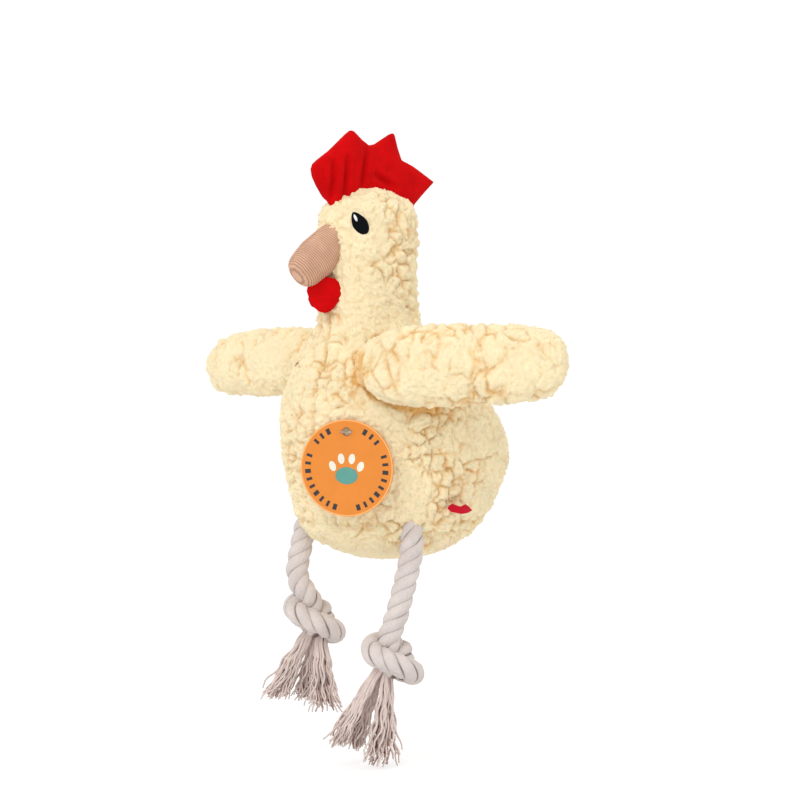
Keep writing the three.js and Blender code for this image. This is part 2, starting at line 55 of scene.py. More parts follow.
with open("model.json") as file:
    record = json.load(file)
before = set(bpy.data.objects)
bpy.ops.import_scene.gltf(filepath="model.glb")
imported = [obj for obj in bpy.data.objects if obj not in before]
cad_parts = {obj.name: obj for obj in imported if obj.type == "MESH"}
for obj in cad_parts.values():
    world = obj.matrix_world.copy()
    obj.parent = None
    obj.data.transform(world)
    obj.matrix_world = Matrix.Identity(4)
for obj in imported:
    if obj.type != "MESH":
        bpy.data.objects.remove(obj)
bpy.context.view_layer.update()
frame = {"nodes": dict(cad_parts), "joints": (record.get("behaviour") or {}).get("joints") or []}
JOINTS = {joint["name"]: joint for joint in frame["joints"]}
MM = 0.001


def pivot(joint):
    return Vector(JOINTS[joint]["pos_m"])


def spin(degrees, axis, size=4):
    return Matrix.Rotation(math.radians(degrees), size, axis)


# The torso's sections: level, half width, half depth, and how far back the section sits, in mm.
TORSO = (
    (99.5, 16, 18, -2), (104.5, 28.5, 31.5, -3), (114, 41, 45, -3), (131, 48, 53.5, 0),
    (150, 51.5, 59, 1), (167, 49.5, 56, -4), (183, 43, 47.5, -10.5), (199, 31.5, 34.5, -16),
    (214, 23.4, 25.6, -18.8), (235, 22, 24, -19.4), (255, 22.3, 25, -19.4),
    (268, 18.8, 21.8, -19.4), (274.5, 9, 11, -19.4), (276, 3, 4, -19.4),
)
NECK_Y = -19.4
HEAD_TURN = -16.0
NECK_TURNS = (195.0, 228.0)
BASE_SEAM = 118.0
HIP = {"left": Vector((33.6, -27.2, 116.5)), "right": Vector((-33.6, -27.2, 116.5))}
SHIFT = pivot("leg_left_swing") / MM - HIP["left"]  # from the torso's own centre to the frame's

# The wing's sections from root to tip: distance, half thickness, half height, in mm.
WING = (
    (0.6, 4, 6), (6, 8.5, 13), (19, 12, 18.5), (38, 13.5, 20.4), (60, 13.5, 20.2),
    (80, 12.5, 19.0), (93, 10.5, 16.4), (100, 7, 11), (102.4, 2.5, 4),
)
WING_ROOT = 14.0
WING_LENGTH = WING[-1][0]
# Each wing's sweep backwards and rise above level, in degrees, then its height and length beside
# the sections'.
WING_SET = {"left": (30.0, 1.5, 1.0, 0.965), "right": (14.0, -4.5, 0.87, 1.03)}

ROPE_ROUTE = {
    "left": ((-9, 7, 15), (-3.5, 2.5, 6), (0, 0, -4), (-0.4, -0.6, -14), (-2.1, -3.2, -27), (-4, -6.2, -40)),
    "right": ((9, 7, 15), (3.5, 2.5, 6), (0, 0, -4), (-1, -1.4, -12), (-2.3, -2.9, -22), (-2.2, -2.7, -29)),
}


# ---- Sizes and colours -----------------------------------------------------------------------


def colour(name, description, value):
    return FloatVectorProperty(
        name=name, description=description, subtype="COLOR", size=3, min=0, max=1, default=value
    )


class HenSizes(bpy.types.PropertyGroup):
    pile_grid: FloatProperty(
        name="Pile grid", description="Spacing of the fleece surface's points", default=0.0007, unit="LENGTH"
    )
    tuft: FloatProperty(
        name="Tuft", description="Usual width of one clump of curls", default=0.0075, unit="LENGTH"
    )
    pile: FloatProperty(
        name="Pile", description="Height of the clumps above their creases", default=0.0023, unit="LENGTH"
    )
    rope: FloatProperty(name="Rope", description="Diameter of the leg rope", default=0.0112, unit="LENGTH")
    rope_turn: FloatProperty(
        name="Rope turn", description="Length in which a strand goes once round", default=0.0205,
        unit="LENGTH",
    )
    yarn: FloatProperty(name="Yarn", description="Diameter of one tassel yarn", default=0.0012, unit="LENGTH")
    yarns: IntProperty(name="Yarns", description="Yarns in one lock of a tassel", default=64)
    seed: IntProperty(name="Seed", description="Picks one arrangement of tufts and yarns", default=7)


class HenColours(bpy.types.PropertyGroup):
    fleece: colour("Fleece", "Tips of the fleece", (0.93, 0.785, 0.50))
    # Painted shade colour for the fleece's creases, seams and wing roots; random patches of tone also move
    # towards it.
    crease_shade_and_tone: colour("Crease Shade And Tone", "Depth of the fleece", (0.78, 0.45, 0.15))
    velour: colour("Velour", "Comb and wattle", (0.58, 0.002, 0.003))
    beak: colour("Beak", "Ribbed beak cloth", (0.68, 0.42, 0.29))
    rope: colour("Rope", "Cotton rope", (0.65, 0.58, 0.55))
    # Painted shade colour inside the tassel locks; random tone from yarn to yarn also moves towards it.
    fray_shade_and_tone: colour("Fray Shade And Tone", "Depth of the tassel", (0.30, 0.15, 0.11))
    card: colour("Card", "Face of the tag", (0.72, 0.235, 0.036))
    ink: colour("Ink", "Dark print on the tag", (0.02, 0.02, 0.022))


def sizes():
    return bpy.context.scene.hen_sizes


def colours():
    return bpy.context.scene.hen_colours


# ---- Noise -----------------------------------------------------------------------------------


def scatter(cells, seed):
    """Three even random numbers for each whole-numbered cell, the same every time."""
    c = cells.astype(np.int64)
    h = (c[..., 0] * 73856093) ^ (c[..., 1] * 19349663) ^ (c[..., 2] * 83492791) ^ (seed * 2654435761)
    out = []
    for _ in range(3):
        h = (h ^ (h >> 13)) * 1274126177 & 0x7FFFFFFF
        h = h ^ (h >> 16)
        out.append((h & 0xFFFF) / 65535.0)
    return np.stack(out, -1)


def lattice(points, size, seed):
    """Smooth three-channel noise, from -1 to 1, with features of the given size."""
    q = points / size
    base = np.floor(q)
    f = q - base
    f = f * f * (3 - 2 * f)
    total = np.zeros((len(points), 3))
    for corner in np.ndindex(2, 2, 2):
        weight = np.prod(np.where(np.array(corner), f, 1 - f), axis=1)
        total += weight[:, None] * scatter(base + np.array(corner), seed)
    return total * 2 - 1


def tufts(points, size, seed):
    """How far each point is from the border between two clumps."""
    q = points / size
    base = np.floor(q)
    first = np.full(len(points), 9.0)
    second = np.full(len(points), 9.0)
    for step in np.ndindex(3, 3, 3):
        cell = base + np.array(step) - 1
        d = np.linalg.norm(q - cell - 0.08 - 0.84 * scatter(cell, seed), axis=1)
        second = np.minimum(second, np.maximum(first, d))
        first = np.minimum(first, d)
    return (second - first) * size


def smooth(value, low, high):
    t = np.clip((value - low) / (high - low), 0, 1)
    return t * t * (3 - 2 * t)


# ---- Mesh helpers ----------------------------------------------------------------------------


def points_of(obj):
    co = np.empty(len(obj.data.vertices) * 3, np.float32)
    obj.data.vertices.foreach_get("co", co)
    return co.reshape(-1, 3).astype(float)


def set_points(obj, co):
    obj.data.vertices.foreach_set("co", co.astype(np.float32).ravel())
    obj.data.update()


def normals_of(obj):
    n = np.empty(len(obj.data.vertices) * 3, np.float32)
    obj.data.vertex_normals.foreach_get("vector", n)
    return n.reshape(-1, 3).astype(float)


def put_attribute(obj, name, values):
    attribute = obj.data.attributes.new(name, "FLOAT", "POINT")
    attribute.data.foreach_set("value", values.astype(np.float32))


def added(name):
    obj = bpy.context.object
    obj.name = name
    obj.data.name = name
    return obj


def only(obj):
    bpy.ops.object.select_all(action="DESELECT")
    obj.select_set(True)
    bpy.context.view_layer.objects.active = obj


def copy_of(obj, name):
    other = obj.copy()
    other.data = obj.data.copy()
    other.name = name
    other.data.name = name
    bpy.context.scene.collection.objects.link(other)
    return other


def apply_all(obj):
    only(obj)
    for modifier in list(obj.modifiers):
        bpy.ops.object.modifier_apply(modifier=modifier.name)


def remeshed(obj, size):
    modifier = obj.modifiers.new("weave", "REMESH")
    modifier.mode = "VOXEL"
    modifier.voxel_size = size
    relax = obj.modifiers.new("relax", "SMOOTH")
    relax.factor = 0.5
    relax.iterations = 3
    apply_all(obj)


def cut(obj, point, normal):
    """Keeps the side that the normal points away from, and closes the cut."""
    only(obj)
    bpy.ops.object.mode_set(mode="EDIT")
    bpy.ops.mesh.select_all(action="SELECT")
    bpy.ops.mesh.bisect(plane_co=point, plane_no=normal, use_fill=True, clear_outer=True)
    bpy.ops.object.mode_set(mode="OBJECT")


def shade(obj, material):
    obj.data.materials.clear()
    obj.data.materials.append(material)
    for polygon in obj.data.polygons:
        polygon.use_smooth = True


def curve_through(rows, count):
    """Evenly parameterised points on a smooth curve through the rows."""
    rows = np.array(rows, float)
    ends = np.vstack([2 * rows[0] - rows[1], rows, 2 * rows[-1] - rows[-2]])
    t = np.linspace(0, len(rows) - 1, count)
    k = np.minimum(t.astype(int), len(rows) - 2)
    u = (t - k)[:, None]
    a, b, c, d = ends[k], ends[k + 1], ends[k + 2], ends[k + 3]
    return 0.5 * (2 * b + (c - a) * u + (2 * a - 5 * b + 4 * c - d) * u**2 + (3 * b - a - 3 * c + d) * u**3)


def stuffed_form(name, sections, rings=70, segments=96):
    """A closed form from (level, half width, half depth, centre) rows, in metres."""
    bpy.ops.mesh.primitive_uv_sphere_add(segments=segments, ring_count=rings, radius=1)
    obj = added(name)
    co = points_of(obj)
    level = np.rint(np.arccos(np.clip(-co[:, 2], -1, 1)) / math.pi * rings).astype(int)
    table = curve_through(sections, rings - 1)
    row = table[np.clip(level - 1, 0, rings - 2)]
    radius = np.maximum(np.hypot(co[:, 0], co[:, 1]), 1e-9)
    pole = (level == 0) | (level == rings)
    across = np.where(pole, 0, co[:, 0] / radius)
    along = np.where(pole, 0, co[:, 1] / radius)
    set_points(obj, np.stack([across * row[:, 1], along * row[:, 2] + row[:, 3], row[:, 0]], 1) * MM)
    return obj


def sweep(name, lines, radius, sides, taper=None):
    """Closed tubes along the given lines, in one mesh, with length and turn as their UV map."""
    verts, faces, uvs, tints = [], [], [], []
    for number, line in enumerate(lines):
        line = np.array(line, float)
        tangent = np.gradient(line, axis=0)
        tangent /= np.linalg.norm(tangent, axis=1)[:, None]
        normal = np.cross(tangent[0], (0.31, 0.27, 0.91))
        length = np.concatenate([[0], np.cumsum(np.linalg.norm(np.diff(line, axis=0), axis=1))])
        width = radius * (taper(np.linspace(0, 1, len(line))) if taper else np.ones(len(line)))
        start = len(verts)
        for i, point in enumerate(line):
            normal = normal - tangent[i] * normal.dot(tangent[i])
            normal /= np.linalg.norm(normal)
            side = np.cross(tangent[i], normal)
            for k in range(sides):
                a = 2 * math.pi * k / sides
                verts.append(point + width[i] * (math.cos(a) * normal + math.sin(a) * side))
                tints.append(number)
        for i in range(len(line) - 1):
            for k in range(sides):
                m = (k + 1) % sides
                a, b = start + i * sides, start + (i + 1) * sides
                faces.append((a + k, a + m, b + m, b + k))
                v = (k / sides, (k + 1) / sides)
                uvs += [(length[i], v[0]), (length[i], v[1]), (length[i + 1], v[1]), (length[i + 1], v[0])]
        last = start + (len(line) - 1) * sides
        faces.append(tuple(start + k for k in reversed(range(sides))))
        faces.append(tuple(last + k for k in range(sides)))
        uvs += [(0, 0)] * (2 * sides)
    mesh = bpy.data.meshes.new(name)
    mesh.from_pydata([tuple(v) for v in verts], [], faces)
    layer = mesh.uv_layers.new(name="length_turn")
    layer.data.foreach_set("uv", np.array(uvs, np.float32).ravel())
    obj = bpy.data.objects.new(name, mesh)
    bpy.context.scene.collection.objects.link(obj)
    put_attribute(obj, "strand", scatter(np.array([[t, 3, 5] for t in tints]), 11)[:, 0])
    return obj


# ---- Materials -------------------------------------------------------------------------------


class Recipe:
    """Small helper that lays nodes out in a material or a group."""

    def __init__(self, tree):
        self.tree = tree

    def node(self, kind, inputs=(), **settings):
        node = self.tree.nodes.new(kind)
        for key, value in settings.items():
            setattr(node, key, value)
        for key, value in dict(inputs).items():
            if isinstance(value, bpy.types.NodeSocket):
                self.tree.links.new(value, node.inputs[key])
            else:
                node.inputs[key].default_value = value
        return node

    def math(self, operation, a, b=0.0, c=0.0):
        return self.node("ShaderNodeMath", {0: a, 1: b, 2: c}, operation=operation).outputs[0]

    def mix(self, factor, a, b, blend="MIX"):
        node = self.node("ShaderNodeMix", data_type="RGBA", blend_type=blend)
        for socket, value in zip((node.inputs[0], node.inputs[6], node.inputs[7]), (factor, a, b)):
            if isinstance(value, bpy.types.NodeSocket):
                self.tree.links.new(value, socket)
            else:
                socket.default_value = value
        return node.outputs[2]

    def ramp(self, value, low, high):
        node = self.node("ShaderNodeMapRange", {0: value, 1: low, 2: high}, interpolation_type="SMOOTHSTEP")
        return node.outputs[0]


def group(name, inputs, outputs, build):
    """A shader node group, built once."""
    if name in bpy.data.node_groups:
        return bpy.data.node_groups[name]
    tree = bpy.data.node_groups.new(name, "ShaderNodeTree")
    for label, kind, value in inputs:
        socket = tree.interface.new_socket(label, in_out="INPUT", socket_type=kind)
        if value is not None:
            socket.default_value = value
    for label, kind in outputs:
        tree.interface.new_socket(label, in_out="OUTPUT", socket_type=kind)
    recipe = Recipe(tree)
    source = recipe.node("NodeGroupInput")
    sink = recipe.node("NodeGroupOutput")
    for label, socket in build(recipe, source.outputs).items():
        tree.links.new(socket, sink.inputs[label])
    return tree


def curl_group():
    """Fine curls over a clumped pile: tips and creases in two colours, the crease colour being painted shade,
    and a height.
    """

    def build(recipe, given):
        place = recipe.node("ShaderNodeTexCoord").outputs["Object"]
        curls = recipe.node(
            "ShaderNodeTexVoronoi", {"Vector": place, "Scale": given["Scale"]}, feature="SMOOTH_F1"
        )
        fuzz = recipe.node(
            "ShaderNodeTexNoise",
            {"Vector": place, "Scale": recipe.math("MULTIPLY", given["Scale"], 2.4), "Detail": 4.0},
        )
        drift = recipe.node("ShaderNodeTexNoise", {"Vector": place, "Scale": 60.0, "Detail": 2.0})
        curl = recipe.math("SUBTRACT", 1.0, curls.outputs["Distance"])
        # Painted shade: the colour deepens away from each curl's centre, into the creases between curls.
        depth = recipe.math("MULTIPLY_ADD", recipe.math("SUBTRACT", 0.6, curl), 0.35, given["Crease Shade And Tone"])
        deep = recipe.ramp(depth, 0.12, 1.05)
        base = recipe.mix(deep, given["Tip"], given["Depth"])
        shade = recipe.math("MULTIPLY_ADD", drift.outputs["Fac"], 0.22, 0.88)
        tone = recipe.node("ShaderNodeCombineXYZ", {0: shade, 1: shade, 2: shade}).outputs[0]
        tinted = recipe.node("ShaderNodeVectorMath", {0: base, 1: tone}, operation="MULTIPLY")
        height = recipe.math("ADD", curl, fuzz.outputs["Fac"])
        return {"Color": tinted.outputs[0], "Height": height}

    return group(
        "curled_pile",
        (
            ("Tip", "NodeSocketColor", None),
            ("Depth", "NodeSocketColor", None),
            ("Crease Shade And Tone", "NodeSocketFloat", 0.0),
            ("Scale", "NodeSocketFloat", 700.0),
        ),
        (("Color", "NodeSocketColor"), ("Height", "NodeSocketFloat")),
        build,
    )


def nap_group():
    """Short cloth nap: a little lighter and darker in patches, with fine fibres."""

    def build(recipe, given):
        place = recipe.node("ShaderNodeTexCoord").outputs["Object"]
        fibre = recipe.node(
            "ShaderNodeTexNoise", {"Vector": place, "Scale": given["Scale"], "Detail": 5.0, "Roughness": 0.7}
        )
        patch = recipe.node("ShaderNodeTexNoise", {"Vector": place, "Scale": 120.0, "Detail": 2.0})
        both = recipe.math("ADD", fibre.outputs["Fac"], patch.outputs["Fac"])
        lit = recipe.math("MULTIPLY", recipe.math("SUBTRACT", both, 1.0), given["Variation"])
        level = recipe.math("ADD", lit, 1.0)
        tone = recipe.node("ShaderNodeCombineXYZ", {0: level, 1: level, 2: level}).outputs[0]
        tinted = recipe.node("ShaderNodeVectorMath", {0: given["Colour"], 1: tone}, operation="MULTIPLY")
        return {"Color": tinted.outputs[0], "Height": fibre.outputs["Fac"]}

    return group(
        "cloth_nap",
        (
            ("Colour", "NodeSocketColor", None),
            ("Scale", "NodeSocketFloat", 2500.0),
            ("Variation", "NodeSocketFloat", 0.5),
        ),
        (("Color", "NodeSocketColor"), ("Height", "NodeSocketFloat")),
        build,
    )


def rgba(value):
    return (*value, 1.0)


def surface(name, roughness, **sockets):
    """A new material with its Principled shader set: returns material, recipe and shader."""
    name = f"hen_{name}"
    if name in bpy.data.materials:
        return bpy.data.materials[name], None, None
    material = bpy.data.materials.new(name)
    material.use_nodes = True
    shader = material.node_tree.nodes["Principled BSDF"]
    shader.inputs["Roughness"].default_value = roughness
    for key, value in sockets.items():
        shader.inputs[key.replace("_", " ")].default_value = value
    return material, Recipe(material.node_tree), shader


def bump(recipe, shader, height, distance, strength=1.0):
    node = recipe.node("ShaderNodeBump", {"Height": height, "Distance": distance, "Strength": strength})
    recipe.tree.links.new(node.outputs["Normal"], shader.inputs["Normal"])


def fleece_material():
    material, recipe, shader = surface(
        "sherpa_fleece", 0.95, Sheen_Weight=0.35, Sheen_Roughness=0.6, Specular_IOR_Level=0.1,
        Subsurface_Weight=0.12, Subsurface_Scale=0.003,
    )
    if recipe:
        shader.inputs["Sheen Tint"].default_value = (1.0, 0.93, 0.78, 1.0)
        # The attribute carries painted shade in creases, at seams and round the wing roots, with random tone.
        crease_shade_and_tone = recipe.node("ShaderNodeAttribute", attribute_name="crease_shade_and_tone").outputs["Fac"]
        pile = recipe.node("ShaderNodeGroup", node_tree=curl_group())
        pile.inputs["Tip"].default_value = rgba(colours().fleece)
        pile.inputs["Depth"].default_value = rgba(colours().crease_shade_and_tone)
        pile.inputs["Scale"].default_value = 620.0
        recipe.tree.links.new(crease_shade_and_tone, pile.inputs["Crease Shade And Tone"])
        recipe.tree.links.new(pile.outputs["Color"], shader.inputs["Base Color"])
        bump(recipe, shader, pile.outputs["Height"], 0.0009, 0.7)
    return material


def cloth_material(name, value, scale, variation, depth, roughness=0.9, **sockets):
    material, recipe, shader = surface(name, roughness, **sockets)
    if recipe:
        nap = recipe.node("ShaderNodeGroup", node_tree=nap_group())
        nap.inputs["Colour"].default_value = rgba(value)
        nap.inputs["Scale"].default_value = scale
        nap.inputs["Variation"].default_value = variation
        recipe.tree.links.new(nap.outputs["Color"], shader.inputs["Base Color"])
        bump(recipe, shader, nap.outputs["Height"], depth)
    return material


def velour_material():
    material = cloth_material(
        "red_velour", colours().velour, 1800.0, 0.55, 0.0004, 0.85, Sheen_Weight=0.1, Sheen_Roughness=0.35,
        Specular_IOR_Level=0.06,
    )
    shader = material.node_tree.nodes["Principled BSDF"]
    shader.inputs["Sheen Tint"].default_value = (1.0, 0.04, 0.03, 1.0)
    return material


def rope_material():
    """Cotton strands: fine yarns that wind along each strand, with painted shade in the grooves between
    strands.
    """
    material, recipe, shader = surface(
        "cotton_rope", 0.95, Sheen_Weight=0.06, Sheen_Roughness=0.5, Specular_IOR_Level=0.08
    )
    if recipe:
        nap = recipe.node("ShaderNodeGroup", node_tree=nap_group())
        nap.inputs["Scale"].default_value = 1600.0
        nap.inputs["Variation"].default_value = 0.35
        uv = recipe.node("ShaderNodeUVMap", uv_map="length_turn").outputs["UV"]
        split = recipe.node("ShaderNodeSeparateXYZ", {0: uv})
        along = recipe.math("MULTIPLY", split.outputs[0], 2 * math.pi * 260.0)
        turn = recipe.math("MULTIPLY", split.outputs[1], 2 * math.pi * 9.0)
        yarn = recipe.math("SINE", recipe.math("ADD", along, turn))
        groove_shade = recipe.node("ShaderNodeAttribute", attribute_name="groove_shade").outputs["Fac"]
        # Painted shade: the grooves between strands go towards this dark brown.
        tone = recipe.mix(recipe.ramp(groove_shade, 0.15, 1.0), rgba(colours().rope), (0.17, 0.12, 0.11, 1.0))
        recipe.tree.links.new(tone, nap.inputs["Colour"])
        recipe.tree.links.new(nap.outputs["Color"], shader.inputs["Base Color"])
        height = recipe.math("ADD", recipe.math("MULTIPLY", yarn, 0.22), nap.outputs["Height"])
        bump(recipe, shader, height, 0.0004, 0.7)
    return material


def yarn_material():
    """Loose yarns: pale outside the lock and browner inside it with painted shade, and random tone from yarn
    to yarn.
    """
    material, recipe, shader = surface(
        "frayed_yarn", 0.95, Sheen_Weight=0.06, Sheen_Roughness=0.5, Specular_IOR_Level=0.08
    )
    if recipe:
        depth = recipe.node("ShaderNodeAttribute", attribute_name="depth").outputs["Fac"]
        strand = recipe.node("ShaderNodeAttribute", attribute_name="strand").outputs["Fac"]
        # Painted shade inside the lock, plus random tone for each yarn.
        amount = recipe.math("MULTIPLY_ADD", strand, 0.35, depth)
        nap = recipe.node("ShaderNodeGroup", node_tree=nap_group())
        nap.inputs["Scale"].default_value = 2200.0
        nap.inputs["Variation"].default_value = 0.5
        tone = recipe.mix(
            recipe.ramp(amount, 0.1, 1.25), (0.74, 0.62, 0.57, 1.0), rgba(colours().fray_shade_and_tone)
        )
        recipe.tree.links.new(tone, nap.inputs["Colour"])
        recipe.tree.links.new(nap.outputs["Color"], shader.inputs["Base Color"])
        bump(recipe, shader, nap.outputs["Height"], 0.0003)
    return material


# ---- Fleece ----------------------------------------------------------------------------------


def coat(obj, seams, calm, shaded=None, stretch=(1, 1, 1), seed=0):
    """Raises the clumps of fleece, and paints shade into the creases between them and along the seams
    and light on the raised curls, with random patches of tone. Seams gives the distance to the nearest
    sewn seam, calm is 1 where the pile stands free and 0 where something holds it down, and shaded is
    painted shade added to the colour where another piece presses the pile."""
    co = points_of(obj)
    normal = normals_of(obj)
    size = sizes().tuft
    seed = sizes().seed + seed
    even = co / np.array(stretch)
    warped = even + 0.0030 * lattice(even, 0.009, seed) + 0.0014 * lattice(even, 0.0034, seed + 1)
    wide = tufts(warped, size, seed + 2)
    fine = tufts(warped, size * 0.42, seed + 3)
    patch = lattice(co, 0.016, seed + 4)
    vary = smooth(patch[:, 0] + 0.55 * lattice(co, 0.005, seed + 7)[:, 0], -0.80, 0.80)
    curls = lattice(co, 0.0024, seed + 5)[:, 0]
    fuzz = lattice(co, 0.0013, seed + 6)[:, 0]
    depth = 0.10 + 0.90 * vary
    valley = 1 - np.sin(math.pi / 2 * np.clip(wide / 0.0034, 0, 1))
    little = 1 - np.sin(math.pi / 2 * np.clip(fine / 0.0016, 0, 1))
    rise = 1 - depth * valley - 0.34 * little + 0.24 * curls + 0.26 * fuzz
    sewn = smooth(seams(co), 0, 0.0030)
    height = sizes().pile * (rise - 0.92) * calm
    height -= 0.0005 * (1 - sewn) + 0.0004 * (1 - calm)
    set_points(obj, co + normal * height[:, None])
    # Painted shade: deeper in the creases between clumps and along the seams, lighter on raised curls and
    # fuzz; the patch term is random tone.
    crease_shade_and_tone = 0.34 * vary * np.exp(-wide / 0.0008) + 0.22 * vary * np.exp(-fine / 0.0006)
    crease_shade_and_tone += 0.42 * depth * valley + 0.14 * np.clip(patch[:, 1], 0, 1) - 0.10 * curls - 0.06 * fuzz
    crease_shade_and_tone += 0.22 * (1 - sewn)
    if shaded is not None:
        crease_shade_and_tone += shaded
    put_attribute(obj, "crease_shade_and_tone", np.clip(crease_shade_and_tone, 0, 1.6))


def torso_section(z):
    """Half width, half depth and centre of the torso at the given levels, in metres."""
    table = curve_through(TORSO, 200) * MM
    return [np.interp(z, table[:, 0], table[:, k]) for k in (1, 2, 3)]


def turn_neck(co):
    """Turns the neck and head, and moves the torso from its own centre to the frame's."""
    angle = np.radians(HEAD_TURN) * smooth(co[:, 2] / MM, *NECK_TURNS)
    x, y = co[:, 0], co[:, 1] - NECK_Y * MM
    across = x * np.cos(angle) - y * np.sin(angle)
    along = x * np.sin(angle) + y * np.cos(angle) + NECK_Y * MM
    return np.stack([across, along, co[:, 2]], 1) + np.array(SHIFT) * MM


HEAD = Matrix.Translation(Vector((0, NECK_Y, 0)) * MM + SHIFT * MM) @ spin(HEAD_TURN, "Z")
HEAD_HALF = (22.0, 24.7)  # half width and half depth of the head at the eyes
EYE = {"level": 259.0, "round": {1: 50.0, -1: 54.0}, "tilt": 24.0}


def eye_place(side):
    """Centre and outward direction of an eye in the straight head, in metres."""
    angle = math.radians(EYE["round"][side])
    wide, deep = HEAD_HALF
    place = Vector((side * wide * math.sin(angle), -deep * math.cos(angle), EYE["level"]))
    out = Vector((place.x / wide**2, place.y / deep**2, 0)).normalized()
    return place * MM, out


def torso_calm(co):
    """The pile lies flat round the eyes, and is short at the bottom of the body."""
    calm = np.ones(len(co))
    for side in (-1, 1):
        place, _ = eye_place(side)
        place = np.array(place) + (0, NECK_Y * MM, 0)
        calm *= 0.10 + 0.90 * smooth(np.linalg.norm((co - place) * (1, 1, 0.62), axis=1), 0.0030, 0.0050)
    return calm * (0.4 + 0.6 * smooth(co[:, 2], 0.100, 0.108))


def wing_root_shade(co):
    """How much painted shade each point of the torso gets round a wing's root, from 0 to 1."""
    shade = np.zeros(len(co))
    for side in ("left", "right"):
        to_wing = np.array(wing_place(side).inverted())
        local = (turn_neck(co) @ to_wing[:3, :3].T + to_wing[:3, 3]) / MM
        height = WING_SET[side][2]
        along = np.clip((local[:, 0] + WING_ROOT) / WING_LENGTH, 0, 1)
        tall = np.interp(along * WING_LENGTH, [row[0] for row in WING], [row[2] * height for row in WING])
        past = np.maximum(-WING_ROOT - local[:, 0], 0)
        edge = np.hypot(np.maximum(np.abs(local[:, 2]) - tall, 0), past)
        close = 1 - smooth(np.abs(local[:, 1]), 13.0, 26.0)
        shade = np.maximum(shade, close * (1 - smooth(edge, 0.2, 4.5)))
    return shade


class HEN_OT_torso(bpy.types.Operator):
    """Body, neck and head in fleece: two side panels and a base"""

    bl_idname = "hen.torso"
    bl_label = "Torso"

    def execute(self, context):
        whole = stuffed_form("torso", TORSO)
        remeshed(whole, sizes().pile_grid * (1))
        co = points_of(whole)

        def seams(points):
            side = np.abs(points[:, 0])
            base = np.abs(points[:, 2] - BASE_SEAM * MM)
            side = np.where(points[:, 2] < BASE_SEAM * MM, 1.0, side)
            return np.minimum(side, base)

        coat(whole, seams, torso_calm(co), wing_root_shade(co))
        seam = BASE_SEAM * MM
        pieces = (
            ("torso_left", -1, -1, ("body_panel_left", "head_fill")),
            ("torso_right", -1, 1, ("body_panel_right", "body_fill")),
            ("torso_base", 1, 0, ("base_gusset",)),
        )
        for name, below, aside, nodes in pieces:
            panel = copy_of(whole, name)
            cut(panel, (0, 0, seam), (0, 0, below))
            if aside:
                cut(panel, (0, 0, 0), (aside, 0, 0))
            set_points(panel, turn_neck(points_of(panel)))
            shade(panel, fleece_material())
            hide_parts(*nodes)
            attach(panel, "body")
        bpy.data.objects.remove(whole)
        return {"FINISHED"}


def wing_place(side):
    """The wing's own frame at its hinge: X outwards along it, Z up."""
    sweep, rise, _, _ = WING_SET[side]
    outward = math.radians(sweep if side == "left" else 180 - sweep)
    turn = Matrix.Rotation(outward, 4, "Z") @ spin(-rise, "Y")
    return Matrix.Translation(pivot(f"wing_{side}_flap")) @ turn


class HEN_OT_wings(bpy.types.Operator):
    """Both stuffed wings, sewn to the body at their roots"""

    bl_idname = "hen.wings"
    bl_label = "Wings"

    def execute(self, context):
        for side, sign in (("left", 1), ("right", -1)):
            height, length = WING_SET[side][2:]
            rows = [(z * length, thick - 0.4, tall * height - 0.8, 0) for z, thick, tall in WING]
            wing = stuffed_form(f"wing_{side}_fleece", rows, rings=60, segments=64)
            co = points_of(wing)
            set_points(wing, np.stack([co[:, 2] - WING_ROOT * MM, co[:, 0], co[:, 1]], 1))
            only(wing)
            bpy.ops.object.mode_set(mode="EDIT")
            bpy.ops.mesh.select_all(action="SELECT")
            bpy.ops.mesh.normals_make_consistent(inside=False)
            bpy.ops.object.mode_set(mode="OBJECT")
            remeshed(wing, sizes().pile_grid * (1))
            co = points_of(wing)
            # Painted shade on the wing's own root, where it meets the body.
            shaded = 0.6 * (1 - smooth(co[:, 0], (1 - WING_ROOT) * MM, (8 - WING_ROOT) * MM))
            coat(
                wing, lambda points: np.abs(points[:, 2] + 0.001) + 0.0019, np.full(len(co), 0.85), shaded,
                (1.1, 1, 1.9), 20 + sign,
            )
            place = wing_place(side)
            wing.data.transform(place)
            set_points(wing, clear_of_torso(points_of(wing), 0.0006))
            shade(wing, fleece_material())
            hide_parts(f"wing_{side}_upper_panel", f"wing_{side}_lower_panel", f"wing_{side}_fill")
            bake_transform(wing)
        return {"FINISHED"}


def clear_of_torso(co, gap):
    """Presses points that would lie inside the torso out to its surface."""
    side, front, centre = torso_section(co[:, 2])
    x, y = co[:, 0] - SHIFT.x * MM, co[:, 1] - SHIFT.y * MM - centre
    inside = np.sqrt((x / (side + gap)) ** 2 + (y / (front + gap)) ** 2)
    push = np.where(inside < 1, 1 / np.maximum(inside, 0.3), 1)
    out = co.copy()
    out[:, 0] = x * push + SHIFT.x * MM
    out[:, 1] = y * push + centre + SHIFT.y * MM
    return out


# ---- Comb, beak, wattle and eyes -------------------------------------------------------------


